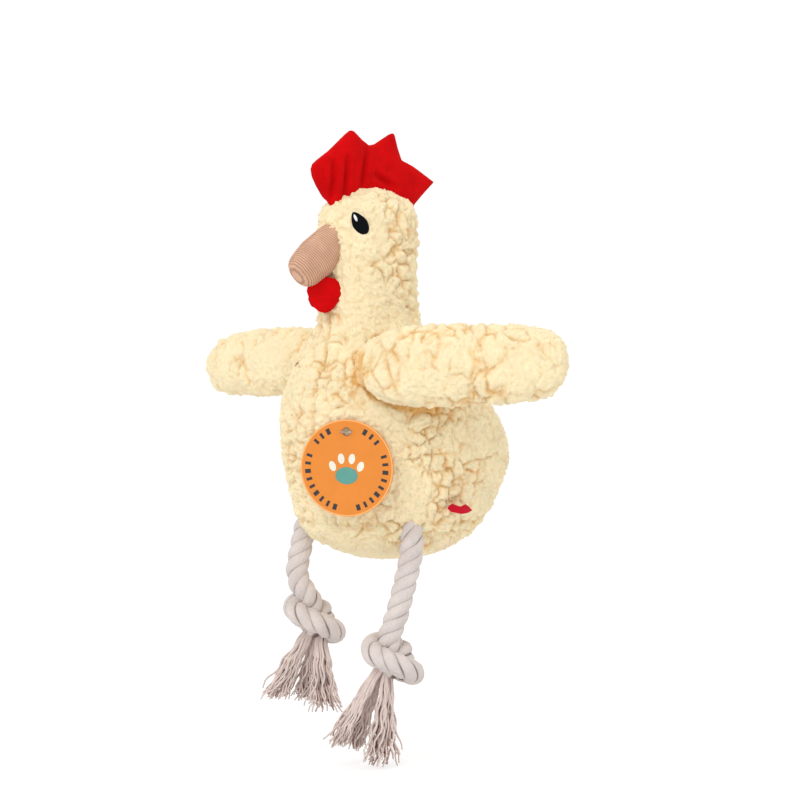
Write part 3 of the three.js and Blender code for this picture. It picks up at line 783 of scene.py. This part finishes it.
COMB_EDGE = (
    ((20, 256), (20.5, 266.5)),
    ((20.5, 266.5), (25.5, 272), (29.8, 278), (31.6, 283), (31, 286.3), (28.8, 288.4)),
    ((28.8, 288.4), (21.4, 293.6), (16, 298.6), (11.4, 302.3), (10, 302.7), (8.8, 302.2)),
    ((8.8, 302.2), (3, 297.6), (-1.4, 295.6), (-6.6, 298), (-12.8, 301.4), (-14.4, 301.8)),
    ((-14.4, 301.8), (-15.2, 300.6), (-16.7, 295), (-18.8, 289.2)),
    ((-18.8, 289.2), (-24.8, 286.6), (-31, 282.8), (-36.4, 279.4)),
    ((-36.4, 279.4), (-36.6, 278.4), (-30.4, 272.6), (-26, 268.2)),
    ((-26, 268.2), (-23, 263), (-18, 256)),
)
COMB_FOLDS = (
    ((21.5, 288), (22.3, 268)), ((14.5, 290), (16, 270)), ((3.5, 293), (6.5, 274)), ((-2, 282), (-12, 276)),
)
COMB_THICK = 4.2


def near_line(points, a, b):
    """Distance from each point to the line from a to b, and how far along it is."""
    a, b = np.array(a, float), np.array(b, float)
    along = np.clip(((points - a) @ (b - a)) / ((b - a) @ (b - a)), 0, 1)
    return np.linalg.norm(points - a - along[:, None] * (b - a), axis=1), along


def comb_outline():
    points = []
    for edge in COMB_EDGE:
        points += [tuple(p) for p in curve_through(edge, 7)[:-1]]
    return points


class HEN_OT_comb(bpy.types.Operator):
    """The comb: two velour panels, padded between and pleated at the front"""

    bl_idname = "hen.comb"
    bl_label = "Comb"

    def execute(self, context):
        outline = comb_outline()
        mesh = bpy.data.meshes.new("comb")
        half = COMB_THICK * MM
        ring = [(-half, -f * MM, z * MM) for f, z in outline]
        mesh.from_pydata(ring, [], [tuple(range(len(ring)))])
        whole = bpy.data.objects.new("comb", mesh)
        context.scene.collection.objects.link(whole)
        only(whole)
        bpy.ops.object.mode_set(mode="EDIT")
        bpy.ops.mesh.select_all(action="SELECT")
        bpy.ops.mesh.extrude_region_move(TRANSFORM_OT_translate={"value": (2 * half, 0, 0)})
        bpy.ops.mesh.select_all(action="SELECT")
        bpy.ops.mesh.normals_make_consistent(inside=False)
        bpy.ops.object.mode_set(mode="OBJECT")
        remeshed(whole, 0.0006)

        co = points_of(whole)
        flat = np.stack([-co[:, 1], co[:, 2]], 1) / MM
        loop = outline + [outline[0]]
        rim = np.min([near_line(flat, a, b)[0] for a, b in zip(loop, loop[1:])], axis=0)
        swell = np.sqrt(np.clip(1 - (1 - np.clip(rim / 9.0, 0, 1)) ** 2, 0, 1))
        thick = 0.5 + (COMB_THICK - 0.5) * swell
        for a, b in COMB_FOLDS:
            off, along = near_line(flat, a, b)
            deep = np.sin(np.pi * np.clip(0.15 + 0.75 * along, 0, 1))
            thick -= 2.0 * deep * np.exp(-((off / 1.15) ** 2))
            thick += 0.7 * deep * np.exp(-(((off - 3.0) / 1.6) ** 2))
        thick += 0.25 * lattice(co, 0.006, 31)[:, 0] * swell
        lean = 0.9 * np.sin(flat[:, 0] / 9.0) * np.clip((flat[:, 1] - 272) / 28, 0, 1)
        co[:, 0] = (co[:, 0] / half * np.maximum(thick, 0.4) + lean) * MM
        set_points(whole, co)
        for name, direction, nodes in (
            ("comb_left", (-1, 0, 0), ("comb_left_panel", "comb_padding")),
            ("comb_right", (1, 0, 0), ("comb_right_panel",)),
        ):
            panel = copy_of(whole, name)
            cut(panel, (0, 0, 0), direction)
            panel.data.transform(HEAD)
            shade(panel, velour_material())
            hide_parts(*nodes)
            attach(panel, "body")
        bpy.data.objects.remove(whole)
        return {"FINISHED"}


BEAK = (
    (0, 9.0, 9.0, 0), (10, 9.6, 9.8, 0), (18, 9.2, 9.6, 0), (24.5, 7.9, 8.7, 0), (27.6, 6.2, 7.0, 0),
    (28.8, 3.6, 4.2, 0), (29.1, 1.2, 1.6, 0),
)
BEAK_AT = Vector((0, -17, 251.8))
BEAK_DROOP = 38.0


class HEN_OT_beak(bpy.types.Operator):
    """The beak in cloth with fine ribs round it"""

    bl_idname = "hen.beak"
    bl_label = "Beak"

    def execute(self, context):
        obj = stuffed_form("beak", BEAK, rings=300, segments=120)
        co = points_of(obj)
        around = np.arctan2(co[:, 1], co[:, 0])
        radius = np.hypot(co[:, 0], co[:, 1])
        stitch = 0.16 * np.abs(np.mod(around * 11 / math.pi, 2) - 1)
        rib = 0.5 + 0.5 * np.cos(2 * math.pi * (co[:, 2] / MM / 1.05 + stitch))
        wobble = 0.35 * lattice(co, 0.005, 41)[:, 0] * MM
        grow = 1 + (0.26 * MM * rib * smooth(radius, 0.0015, 0.006) + wobble) / np.maximum(radius, 1e-4)
        pinch = 1 - 0.05 * np.exp(-(((np.abs(around) - math.pi / 2) / 0.12) ** 2))
        co[:, :2] *= (grow * pinch)[:, None]
        set_points(obj, co)
        # Painted shade in the grooves between ribs.
        put_attribute(obj, "groove_shade", (1 - rib) * smooth(radius, 0.0015, 0.004))
        droop = math.radians(BEAK_DROOP)
        along = Vector((0, -math.cos(droop), -math.sin(droop)))
        across = Vector((1, 0, 0))
        basis = Matrix((across, along.cross(across), along)).transposed().to_4x4()
        obj.data.transform(HEAD @ Matrix.Translation(BEAK_AT * MM) @ basis)
        shade(obj, beak_material())
        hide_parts("beak_cover", "beak_fill")
        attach(obj, "body")
        return {"FINISHED"}


def beak_material():
    material, recipe, shader = surface(
        "ribbed_cloth", 0.95, Sheen_Weight=0.05, Sheen_Roughness=0.5, Specular_IOR_Level=0.08
    )
    if recipe:
        nap = recipe.node("ShaderNodeGroup", node_tree=nap_group())
        nap.inputs["Scale"].default_value = 2200.0
        nap.inputs["Variation"].default_value = 0.5
        groove_shade = recipe.node("ShaderNodeAttribute", attribute_name="groove_shade").outputs["Fac"]
        # Painted shade: the rib grooves go towards this darker brown.
        tone = recipe.mix(recipe.ramp(groove_shade, 0.25, 1.0), rgba(colours().beak), (0.44, 0.24, 0.16, 1.0))
        recipe.tree.links.new(tone, nap.inputs["Colour"])
        recipe.tree.links.new(nap.outputs["Color"], shader.inputs["Base Color"])
        bump(recipe, shader, nap.outputs["Height"], 0.0003)
    return material


# The lobes' outline from top to bottom: how far down, and half the width there in mm. Then each
# lobe's width beside the outline's, its length and how far back it sits, in mm.
WATTLE_OUTLINE = (
    (0, 0), (0.05, 5.0), (0.2, 7.6), (0.4, 8.3), (0.65, 6.9), (0.85, 4.6), (0.95, 2.8), (1, 0),
)
WATTLE_LOBE = {"left": (1.0, 17.2, 1.0), "right": (0.8, 15.0, 2.4)}


class HEN_OT_wattle(bpy.types.Operator):
    """The wattle: two velour lobes under the beak"""

    bl_idname = "hen.wattle"
    bl_label = "Wattle"

    def execute(self, context):
        for side, sign in (("left", 1), ("right", -1)):
            bpy.ops.mesh.primitive_uv_sphere_add(segments=64, ring_count=48, radius=1)
            obj = added(f"wattle_{side}")
            co = points_of(obj)
            drop = (1 - co[:, 2]) / 2
            wide, long, forward = WATTLE_LOBE[side]
            width = np.interp(drop, *zip(*WATTLE_OUTLINE)) * wide
            level = 2.0 - long * drop
            radius = np.maximum(np.hypot(co[:, 0], co[:, 1]), 1e-6)
            y = co[:, 1] * np.where(radius < 1e-5, 0, 1) / radius * width
            x = co[:, 0] / radius * np.minimum(radius * 1.4, 1) * 1.5
            x += 0.6 * np.sin(y * 0.5 + 0.6) * drop
            x += 0.45 * np.exp(-((level + 8.5 - 0.12 * y) ** 2)) * sign
            set_points(obj, np.stack([x, y, level], 1) * MM)
            fold = spin(-sign * 30, "Z") @ spin(-sign * 5, "Y")
            seam = Matrix.Translation(pivot("wattle_swing")) @ spin(HEAD_TURN, "Z")
            aside = Matrix.Translation(Vector((sign * 4.4, forward, 0.6)) * MM)
            obj.data.transform(seam @ aside @ fold)
            shade(obj, velour_material())
            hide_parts(f"wattle_{side}_lobe")
            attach(obj, "wattle")
        return {"FINISHED"}


class HEN_OT_eyes(bpy.types.Operator):
    """Both eyes in satin stitch, each with a white glint"""

    bl_idname = "hen.eyes"
    bl_label = "Eyes"

    def execute(self, context):
        for side, sign in (("left", 1), ("right", -1)):
            place, out = eye_place(sign)
            up = Vector((0, 0, 1))
            basis = Matrix((up.cross(out), up, out)).transposed().to_4x4()
            tilt = spin(sign * EYE["tilt"], "Z")
            stand = HEAD @ Matrix.Translation(place) @ basis @ tilt
            glint = (-0.7 * sign, 2.8, 0.35)
            self.patch(f"eye_{side}_black", sign, stand, (0, 0, 0), (3.6, 5.9, 0.9), 0.36, "black")
            self.patch(f"eye_{side}_white", sign, stand, glint, (0.75, 2.0, 0.8), 0.1, "white")
            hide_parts(f"eye_{side}")
            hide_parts(f"eye_{side}_glint")
        return {"FINISHED"}

    def patch(self, name, sign, stand, centre, half, narrow, thread):
        bpy.ops.mesh.primitive_uv_sphere_add(segments=72, ring_count=48, radius=1)
        obj = added(name)
        co = points_of(obj)
        rise = co[:, 1].copy()
        co[:, 0] *= (1 - narrow * np.clip(rise, 0, 1)) * half[0]
        co[:, 0] -= sign * 0.5 * half[0] * narrow * rise
        co[:, 1] *= half[1]
        co[:, 2] *= half[2]
        co[:, 2] -= (co[:, 0] ** 2) / (2 * HEAD_HALF[0])
        stitch = 0.06 * np.sin(co[:, 1] * 2 * math.pi / 0.62 + co[:, 0] * 0.8)
        co[:, 2] += np.where(co[:, 2] > -0.3, stitch, 0)
        set_points(obj, (co + np.array(centre)) * MM)
        obj.data.transform(stand)
        values = {"black": (0.004, 0.005, 0.006), "white": (0.85, 0.85, 0.82)}
        shade(obj, cloth_material(
            f"{thread}_thread", values[thread], 3000.0, 0.5, 0.0001, 0.7, Specular_IOR_Level=0.05,
        ))
        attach(obj, "body")


# ---- Rope legs -------------------------------------------------------------------------------


def tied_knot(diameter, squeeze=0.76, spacing=2.2, steps=900):
    """Centreline of an overhand knot, in mm, pulled tight along Z: the rope keeps its length, gives
    way to bending, and holds its turns apart."""
    t = np.linspace(-2.13, 2.13, 900)
    loose = np.stack([(t**3 - 3 * t) * 6.5, (t**4 - 4 * t * t) * 4.2, (t**5 - 10 * t) * 1.9], 1)
    line = even_steps(loose, spacing)
    rest = np.linalg.norm(line[1] - line[0])
    reach = diameter * squeeze
    i, j = np.triu_indices(len(line), int(math.ceil(1.55 * diameter / rest)))
    for _ in range(steps):
        line[0] += (0, 0, 0.5 * np.sign(line[0, 2]))
        line[-1] += (0, 0, 0.5 * np.sign(line[-1, 2]))
        line[(0, -1), :2] *= 0.97
        line[1:-1] += 0.25 * ((line[:-2] + line[2:]) / 2 - line[1:-1])
        for _ in range(3):
            gap = line[j] - line[i]
            length = np.linalg.norm(gap, axis=1)
            hit = length < reach
            push = gap[hit] / length[hit, None] * ((reach - length[hit]) * 0.25)[:, None]
            np.add.at(line, i[hit], -push)
            np.add.at(line, j[hit], push)
            for first in (0, 1) * 6:
                a = np.arange(first, len(line) - 1, 2)
                step = line[a + 1] - line[a]
                length = np.linalg.norm(step, axis=1)
                fix = step * ((length - rest) / length * 0.5)[:, None]
                line[a] += fix
                line[a + 1] -= fix
    return line


def even_steps(line, spacing):
    """The same line with points at even steps."""
    along = np.concatenate([[0], np.cumsum(np.linalg.norm(np.diff(line, axis=0), axis=1))])
    at = np.linspace(0, along[-1], int(along[-1] / spacing) + 1)
    return np.stack([np.interp(at, along, line[:, k]) for k in range(3)], 1)


def rope_strands(line, diameter, turn):
    """Centrelines of three strands laid right-handed round the line."""
    tangent = np.gradient(line, axis=0)
    tangent /= np.linalg.norm(tangent, axis=1)[:, None]
    normal = np.cross(tangent[0], (0, 1, 0))
    lay = diameter * 0.217
    strands = [[], [], []]
    along = 0
    for i, point in enumerate(line):
        if i:
            along += np.linalg.norm(line[i] - line[i - 1])
        normal = normal - tangent[i] * normal.dot(tangent[i])
        normal /= np.linalg.norm(normal)
        side = np.cross(tangent[i], normal)
        for k, strand in enumerate(strands):
            a = 2 * math.pi * (along / turn + k / 3)
            strand.append(point + lay * (math.cos(a) * normal + math.sin(a) * side))
    return strands


ACROSS = np.array([0.766, 0.643, 0])  # the way in which a tassel fans out, and the way out of it
TOWARD = np.array([0.643, -0.766, 0])

# Each tassel lock: how far it goes aside and near, how long it is and how wide it ends, in mm.
TASSEL_LOCKS = {
    "left": ((-21, 2, 38, 4.8), (-4, 3, 47, 8.2), (-13, -5, 41, 3.5)),
    "right": ((-19, 1, 36, 6.0), (1.5, 2, 42, 6.5), (-8, -5, 38, 5)),
}
TASSEL_ASIDE = {"left": -7.0, "right": -2.0}
KNOT_TURN = {"left": 205.0, "right": 215.0}
KNOT_PRESS = (0.95, 0.95, 0.86)
KNOT_DROP = {"left": Vector((-5.4, -7.6, -61)), "right": Vector((4, 2.6, -47.6))}
KNOT_TILT = {"left": (0.0, -2.0), "right": (0.0, 0.0)}


def leg_line(side, knot):
    """The rope's centreline from inside the body through its knot, in metres in the frame."""
    shank = np.array(ROPE_ROUTE[side], float)
    knot = knot * KNOT_PRESS
    lean, tip = KNOT_TILT[side]
    turn = spin(lean, "X", 3) @ spin(tip, "Y", 3) @ spin(KNOT_TURN[side], "Z", 3)
    centre = np.array([0, knot[:, 1].mean(), 0])
    tied = (knot - centre) @ np.array(turn).T
    if tied[0, 2] < tied[-1, 2]:
        tied = tied[::-1]
    tied = tied + np.array(KNOT_DROP[side])
    core = slice(*core_range(tied, KNOT_DROP[side].z))
    middle = (tied[core].min(0) + tied[core].max(0)) / 2
    tied[:, :2] += (np.array(KNOT_DROP[side]) - middle)[:2]
    joined = np.vstack([shank, tied[core]])
    spread = curve_through(even_steps(joined, 4.5), 400)
    line = even_steps(spread, 1.1)
    return (line + np.array(HIP[side]) + np.array(SHIFT)) * MM


def core_range(tied, level):
    """First and last point of the knot itself, with a short lead at each end."""
    above = np.argmax(tied[:, 2] < level + 11)
    below = len(tied) - np.argmax(tied[::-1, 2] > level - 8)
    return above, below


class HEN_OT_legs(bpy.types.Operator):
    """Both rope legs, each tied in an overhand knot and frayed into a tassel"""

    bl_idname = "hen.legs"
    bl_label = "Legs"

    def execute(self, context):
        size = sizes()
        knot = tied_knot(size.rope / MM)
        for side, sign in (("left", 1), ("right", -1)):
            line = leg_line(side, knot)
            strands = rope_strands(line, size.rope, size.rope_turn)
            rope = sweep(f"leg_{side}_rope_tied", strands, size.rope * 0.283, 18)
            co = points_of(rope)
            nearest = np.concatenate([
                np.linalg.norm(block[:, None] - line[None], axis=2).min(1) for block in np.array_split(co, 24)
            ])
            # Painted shade: points nearest the rope's centre, in the grooves between strands.
            put_attribute(rope, "groove_shade", 1 - smooth(nearest, size.rope * 0.345, size.rope * 0.455))
            shade(rope, rope_material())
            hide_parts(f"leg_{side}_rope", f"leg_{side}_knot", f"leg_{side}_anchor")
            tassel = self.tassel(side, line, size)
            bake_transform(rope)
        return {"FINISHED"}

    def tassel(self, side, line, size):
        """Three locks of wavy yarn, one from each strand of the rope."""
        rng = np.random.default_rng(size.seed + len(side))
        low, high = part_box(f"leg_{side}_tassel")
        top = line[-1] * 0.2 + line[-8] * 0.8 + ACROSS * TASSEL_ASIDE[side] * MM
        points = 20
        s = np.linspace(0, 1, points)
        lines, lock_shades = [], []
        for aside, near, reach, spread in TASSEL_LOCKS[side]:
            wave = rng.uniform(0, 6.28)
            root = ACROSS * np.sign(aside + 9) * 1.4 + TOWARD * np.sign(near) * 1.2
            for _ in range(size.yarns):
                spot = rng.normal(0, 0.55, 2)
                spot *= min(1.0, 1.0 / np.linalg.norm(spot))
                long = min(reach * rng.uniform(0.84, 1.02), (top[2] - low.z) / MM)
                width = 2.3 + (spread - 2.3) * s**1.6
                swing = rng.uniform(0.5, 1.5) * s**0.6
                phase = wave + 2.2 * rng.normal(0, 0.35)
                beat = s * long / rng.uniform(1.5, 2.1)
                x = aside * s**0.95 + spot[0] * width + 0.85 * swing * np.sin(beat + phase)
                y = near * s + spot[1] * width * 0.8 + 0.85 * swing * np.cos(beat * 0.9 + phase)
                x += rng.normal(0, 1.5) * s**4
                y += rng.normal(0, 1.2) * s**4
                path = np.outer(x, ACROSS) + np.outer(y, TOWARD) + root + np.outer(-s * long, (0, 0, 1))
                lines.append(top + path * MM)
                # Painted shade: darker towards the middle of the lock and on its back, away from the camera.
                lock_shades.append(np.clip(1 - np.linalg.norm(spot) - 0.3 * spot[1], 0, 1))
        obj = sweep(f"leg_{side}_tassel_yarns", lines, size.yarn / 2, 5, lambda s: 1 - 0.45 * s**3)
        put_attribute(obj, "depth", np.repeat(lock_shades, points * 5))
        shade(obj, yarn_material())
        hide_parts(f"leg_{side}_tassel")
        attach(obj, f"tassel_{side}")
        return obj


# ---- Tag and label ---------------------------------------------------------------------------


def tag_frame():
    """The tag's own frame at its pin: X across the card, -Y out of its face, Z up."""
    axis = Vector(JOINTS["hang_tag_swing"]["axis"])
    across = axis.cross(Vector((0, 0, 1)))
    basis = Matrix((across, axis, Vector((0, 0, 1)))).transposed().to_4x4()
    return Matrix.Translation(pivot("hang_tag_swing")) @ basis


TAG_DROP = 0.0168
TAG_RADIUS = 0.0225
TAG_HOLE = 0.0021
TAG_THICK = 0.0008
# Each toe of the paw: how far aside and up it is, and its lean in degrees.
PAW_TOES = ((-0.0068, 0.0008, 24), (-0.0026, 0.0043, 8), (0.0026, 0.0043, -8), (0.0068, 0.0008, -24))


class HEN_OT_tag(bpy.types.Operator):
    """The round card tag with its print, and the clear pin that holds it"""

    bl_idname = "hen.tag"
    bl_label = "Tag"

    def execute(self, context):
        card = self.disc("tag_card", (0, -TAG_DROP), TAG_RADIUS, TAG_THICK, 0, 160)
        hole = self.disc("tag_hole", (0, 0), TAG_HOLE, TAG_THICK * 4, TAG_THICK, 40)
        punch = card.modifiers.new("punch", "BOOLEAN")
        punch.object = hole
        apply_all(card)
        bpy.data.objects.remove(hole)
        soften = card.modifiers.new("edge", "BEVEL")
        soften.width = 0.00012
        soften.segments = 2
        soften.limit_method = "ANGLE"
        apply_all(card)
        card.data.transform(tag_frame())
        card.data.materials.append(cloth_material(
            "orange_card", colours().card, 900.0, 0.12, 0.00003, 0.6, Specular_IOR_Level=0.2
        ))
        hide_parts("hang_tag")
        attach(card, "hang_tag")
        self.print_ring()
        self.print_paw()
        self.pin()
        return {"FINISHED"}

    def disc(self, name, centre, radius, thick, front, sides=48):
        """A disc with its back at the tag's plane: centre is (across, up)."""
        bpy.ops.mesh.primitive_cylinder_add(vertices=sides, radius=radius, depth=thick)
        obj = added(name)
        turn = spin(90, "X")
        obj.data.transform(Matrix.Translation((centre[0], front - thick / 2, centre[1])) @ turn)
        return obj

    def printed(self, obj, name, value):
        obj.name = name
        obj.data.transform(tag_frame())
        obj.data.materials.append(cloth_material(f"{name}_ink", value, 1500.0, 0.2, 0.00001, 0.5))
        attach(obj, "hang_tag")

    def print_ring(self):
        """A pale rim, and a ring of dashes that leaves the top free for the pin."""
        bpy.ops.mesh.primitive_torus_add(
            major_radius=TAG_RADIUS - 0.0004, minor_radius=0.00028, major_segments=128, minor_segments=8
        )
        rim = added("tag_rim")
        flatten = Matrix.Diagonal((1, 1, 0.25, 1))
        turn = spin(90, "X")
        rim.data.transform(Matrix.Translation((0, -TAG_THICK, -TAG_DROP)) @ turn @ flatten)
        self.printed(rim, "tag_rim", (0.93, 0.42, 0.13))
        dashes = []
        for turn in (*range(3), *range(4, 13)):
            for side in (-1, 1):
                bpy.ops.mesh.primitive_cube_add(size=1)
                dash = added("dash")
                dash.data.transform(Matrix.Diagonal((0.0013 if turn % 3 else 0.0019, 0.00012, 0.0028, 1)))
                dash.data.transform(Matrix.Translation((0, -TAG_THICK, 0.0189)))
                dash.data.transform(spin(side * (28 + 11.2 * turn), "Y"))
                dash.data.transform(Matrix.Translation((0, 0, -TAG_DROP)))
                dashes.append(dash)
        self.joined(dashes, "tag_dashes", colours().ink)

    def joined(self, parts, name, value):
        bpy.ops.object.select_all(action="DESELECT")
        for part in parts:
            part.select_set(True)
        bpy.context.view_layer.objects.active = parts[0]
        bpy.ops.object.join()
        self.printed(parts[0], name, value)

    def print_paw(self):
        """A plain paw: one large pad and four toes."""
        pad = [self.disc("pad", (0, 0), 0.0046, 0.00012, -TAG_THICK + 0.00002)]
        low = Matrix.Translation((0, 0, -TAG_DROP - 0.0035))
        pad[0].data.transform(low @ Matrix.Diagonal((1.18, 1, 0.86, 1)))
        self.joined(pad, "tag_paw_pad", (0.09, 0.30, 0.25))
        toes = []
        for across, up, lean in PAW_TOES:
            toe = self.disc("toe", (0, 0), 0.00185, 0.00012, -TAG_THICK + 0.00002)
            toe.data.transform(
                Matrix.Translation((across, 0, up - TAG_DROP))
                @ spin(-lean, "Y")
                @ Matrix.Diagonal((0.85, 1, 1.3, 1))
            )
            toes.append(toe)
        self.joined(toes, "tag_paw_toes", (0.78, 0.74, 0.62))

    def pin(self):
        inside, outside, bar = 0.007, TAG_THICK + 0.0010, 0.0055
        rods = [
            [(0, inside, 0), (0, 0, 0), (0, -outside, 0)],
            [(-bar / 2, -outside, 0), (-bar / 4, -outside - 0.0002, 0), (0, -outside - 0.0003, 0),
             (bar / 4, -outside - 0.0002, 0), (bar / 2, -outside, 0)],
        ]
        obj = sweep("tag_pin_clear", rods, 0.00055, 16)
        obj.data.transform(tag_frame())
        material, _, _ = surface(
            "clear_plastic", 0.12, Transmission_Weight=0.92, IOR=1.49, Base_Color=(0.93, 0.95, 0.95, 1)
        )
        shade(obj, material)
        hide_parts("tag_pin")
        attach(obj, "body")


class HEN_OT_label(bpy.types.Operator):
    """The folded ribbon label in the side seam"""

    bl_idname = "hen.label"
    bl_label = "Label"

    def execute(self, context):
        low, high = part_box("side_label")
        centre = (low + high) / 2
        bpy.ops.mesh.primitive_grid_add(x_subdivisions=48, y_subdivisions=20, size=1)
        obj = added("side_label_ribbon")
        co = points_of(obj)
        length = 0.0138
        u, v = co[:, 0] + 0.5, co[:, 1] + 0.5
        under = np.interp(u, (0, 0.1, 0.5, 0.8, 1), (-0.0004, -0.0016, -0.0026, -0.0024, -0.0016))
        over = np.interp(
            u, (0, 0.1, 0.3, 0.42, 0.6, 0.75, 1), (0.0012, 0.0022, 0.0014, 0.0010, 0.0022, 0.0011, -0.0014)
        )
        out = 0.0014 + 0.0020 * np.sin(u * 2.6) + 0.0006 * v
        up = under + (over - under) * v
        set_points(obj, np.stack([out, (u - 0.5) * length, up], 1))
        thicken = obj.modifiers.new("ribbon", "SOLIDIFY")
        thicken.thickness = 0.0006
        thicken.offset = 0
        apply_all(obj)
        turn = spin(-10.5, "Z") @ spin(15, "Y")
        obj.data.transform(Matrix.Translation(centre) @ turn)
        shade(obj, cloth_material(
            "red_ribbon", (0.52, 0.004, 0.02), 2600.0, 0.3, 0.0001, 0.6, Specular_IOR_Level=0.1
        ))
        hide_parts("side_label")
        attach(obj, "body")
        return {"FINISHED"}


class HEN_OT_hidden(bpy.types.Operator):
    """Finishes for what the skin hides: the squeaker"""

    bl_idname = "hen.hidden"
    bl_label = "Squeaker"

    def execute(self, context):
        plastic = cloth_material("squeaker_plastic", (0.80, 0.84, 0.80), 400.0, 0.08, 0.00002, 0.35)
        for name in ("squeaker_bulb", "squeaker_reed_tube", "squeaker_reed"):
            node = frame["nodes"][name]
            node.data.materials.clear()
            node.data.materials.append(plastic)
        return {"FINISHED"}


# ---- Stage -----------------------------------------------------------------------------------


FLOOR_GLOW = 0.64  # keeps the far wall as pale as the lit floor


class HEN_OT_stage(bpy.types.Operator):
    """Camera, pale floor and soft studio light"""

    bl_idname = "hen.stage"
    bl_label = "Stage"

    azimuth: FloatProperty(name="Azimuth", description="Where the camera stands", default=40.0)
    elevation: FloatProperty(name="Elevation", description="How far the camera looks down", default=3.0)

    def execute(self, context):
        self.camera(context)
        self.floor()
        self.lights(context)
        return {"FINISHED"}

    def camera(self, context):
        data = bpy.data.cameras.new("camera")
        data.lens = 135
        data.sensor_width = 36
        camera = bpy.data.objects.new("camera", data)
        context.scene.collection.objects.link(camera)
        a, e = math.radians(self.azimuth), math.radians(self.elevation)
        back = Vector((math.sin(a) * math.cos(e), -math.cos(a) * math.cos(e), math.sin(e)))
        right = Vector((math.cos(a), math.sin(a), 0))
        middle = SHIFT * MM + right * 0.0026 + Vector((0, 0, 0.1745))
        camera.location = middle + back * 1.44
        context.scene.view_settings.view_transform = "Standard"
        camera.rotation_euler = (-back).to_track_quat("-Z", "Y").to_euler()
        context.scene.camera = camera

    def floor(self):
        """A floor that curves up into a back wall on every side, so that it shows no edge."""
        bpy.ops.mesh.primitive_circle_add(
            vertices=96, radius=1.6, fill_type="TRIFAN", location=(0, 0, -0.0004)
        )
        sweep_up = added("floor")
        only(sweep_up)
        bpy.ops.object.mode_set(mode="EDIT")
        bpy.ops.mesh.select_all(action="DESELECT")
        bpy.ops.mesh.select_mode(type="EDGE")
        bpy.ops.mesh.select_non_manifold()
        for rise, grow in ((0.05, 1.16), (0.12, 1.1), (0.25, 1.06), (0.5, 1.03), (3.0, 1.0)):
            bpy.ops.mesh.extrude_region_move(TRANSFORM_OT_translate={"value": (0, 0, rise)})
            bpy.ops.transform.resize(value=(grow, grow, 1), center_override=(0, 0, 0))
        bpy.ops.object.mode_set(mode="OBJECT")
        material, _, _ = surface(
            "pale_floor", 0.85, Base_Color=(0.35, 0.35, 0.35, 1), Emission_Color=(1, 1, 1, 1),
            Emission_Strength=FLOOR_GLOW,
        )
        shade(sweep_up, material)

    def lights(self, context):
        world = bpy.data.worlds.new("studio")
        context.scene.world = world
        world.use_nodes = True
        background = world.node_tree.nodes["Background"]
        background.inputs["Color"].default_value = (1, 0.995, 0.985, 1)
        background.inputs["Strength"].default_value = 0.85
        for name, place, size, power in (
            ("key", (0.35, -1.15, 1.15), 0.7, 6.5),
            ("fill", (-1.2, -0.5, 0.6), 1.1, 0.5),
            ("top", (0.1, 0.3, 1.6), 1.0, 1.5),
        ):
            data = bpy.data.lights.new(name, "AREA")
            data.size = size
            data.energy = power
            lamp = bpy.data.objects.new(name, data)
            lamp.location = place
            aim = Vector((0, 0, 0.16)) - Vector(place)
            lamp.rotation_euler = aim.to_track_quat("-Z", "Y").to_euler()
            context.scene.collection.objects.link(lamp)


class HEN_PT_panel(bpy.types.Panel):
    """Lists the hen's pieces in the order that they are made"""

    bl_label = "Plush Hen"
    bl_space_type = "VIEW_3D"
    bl_region_type = "UI"
    bl_category = "Hen"

    def draw(self, context):
        for piece in STEPS:
            self.layout.operator(piece.bl_idname)


STEPS = (
    HEN_OT_stage, HEN_OT_legs, HEN_OT_torso, HEN_OT_wings, HEN_OT_comb, HEN_OT_beak, HEN_OT_wattle,
    HEN_OT_eyes, HEN_OT_tag, HEN_OT_label, HEN_OT_hidden,
)
CLASSES = (HenSizes, HenColours, *STEPS, HEN_PT_panel)


def register():
    for cls in CLASSES:
        bpy.utils.register_class(cls)
    bpy.types.Scene.hen_sizes = PointerProperty(type=HenSizes)
    bpy.types.Scene.hen_colours = PointerProperty(type=HenColours)


def unregister():
    del bpy.types.Scene.hen_sizes
    del bpy.types.Scene.hen_colours
    for cls in reversed(CLASSES):
        bpy.utils.unregister_class(cls)


def main():
    register()
    bpy.ops.object.select_all(action="DESELECT")
    bpy.ops.hen.stage()
    bpy.ops.hen.legs()
    bpy.ops.hen.torso()
    bpy.ops.hen.wings()
    bpy.ops.hen.comb()
    bpy.ops.hen.beak()
    bpy.ops.hen.wattle()
    bpy.ops.hen.eyes()
    bpy.ops.hen.tag()
    bpy.ops.hen.label()
    bpy.ops.hen.hidden()


if __name__ == "__main__":
    main()
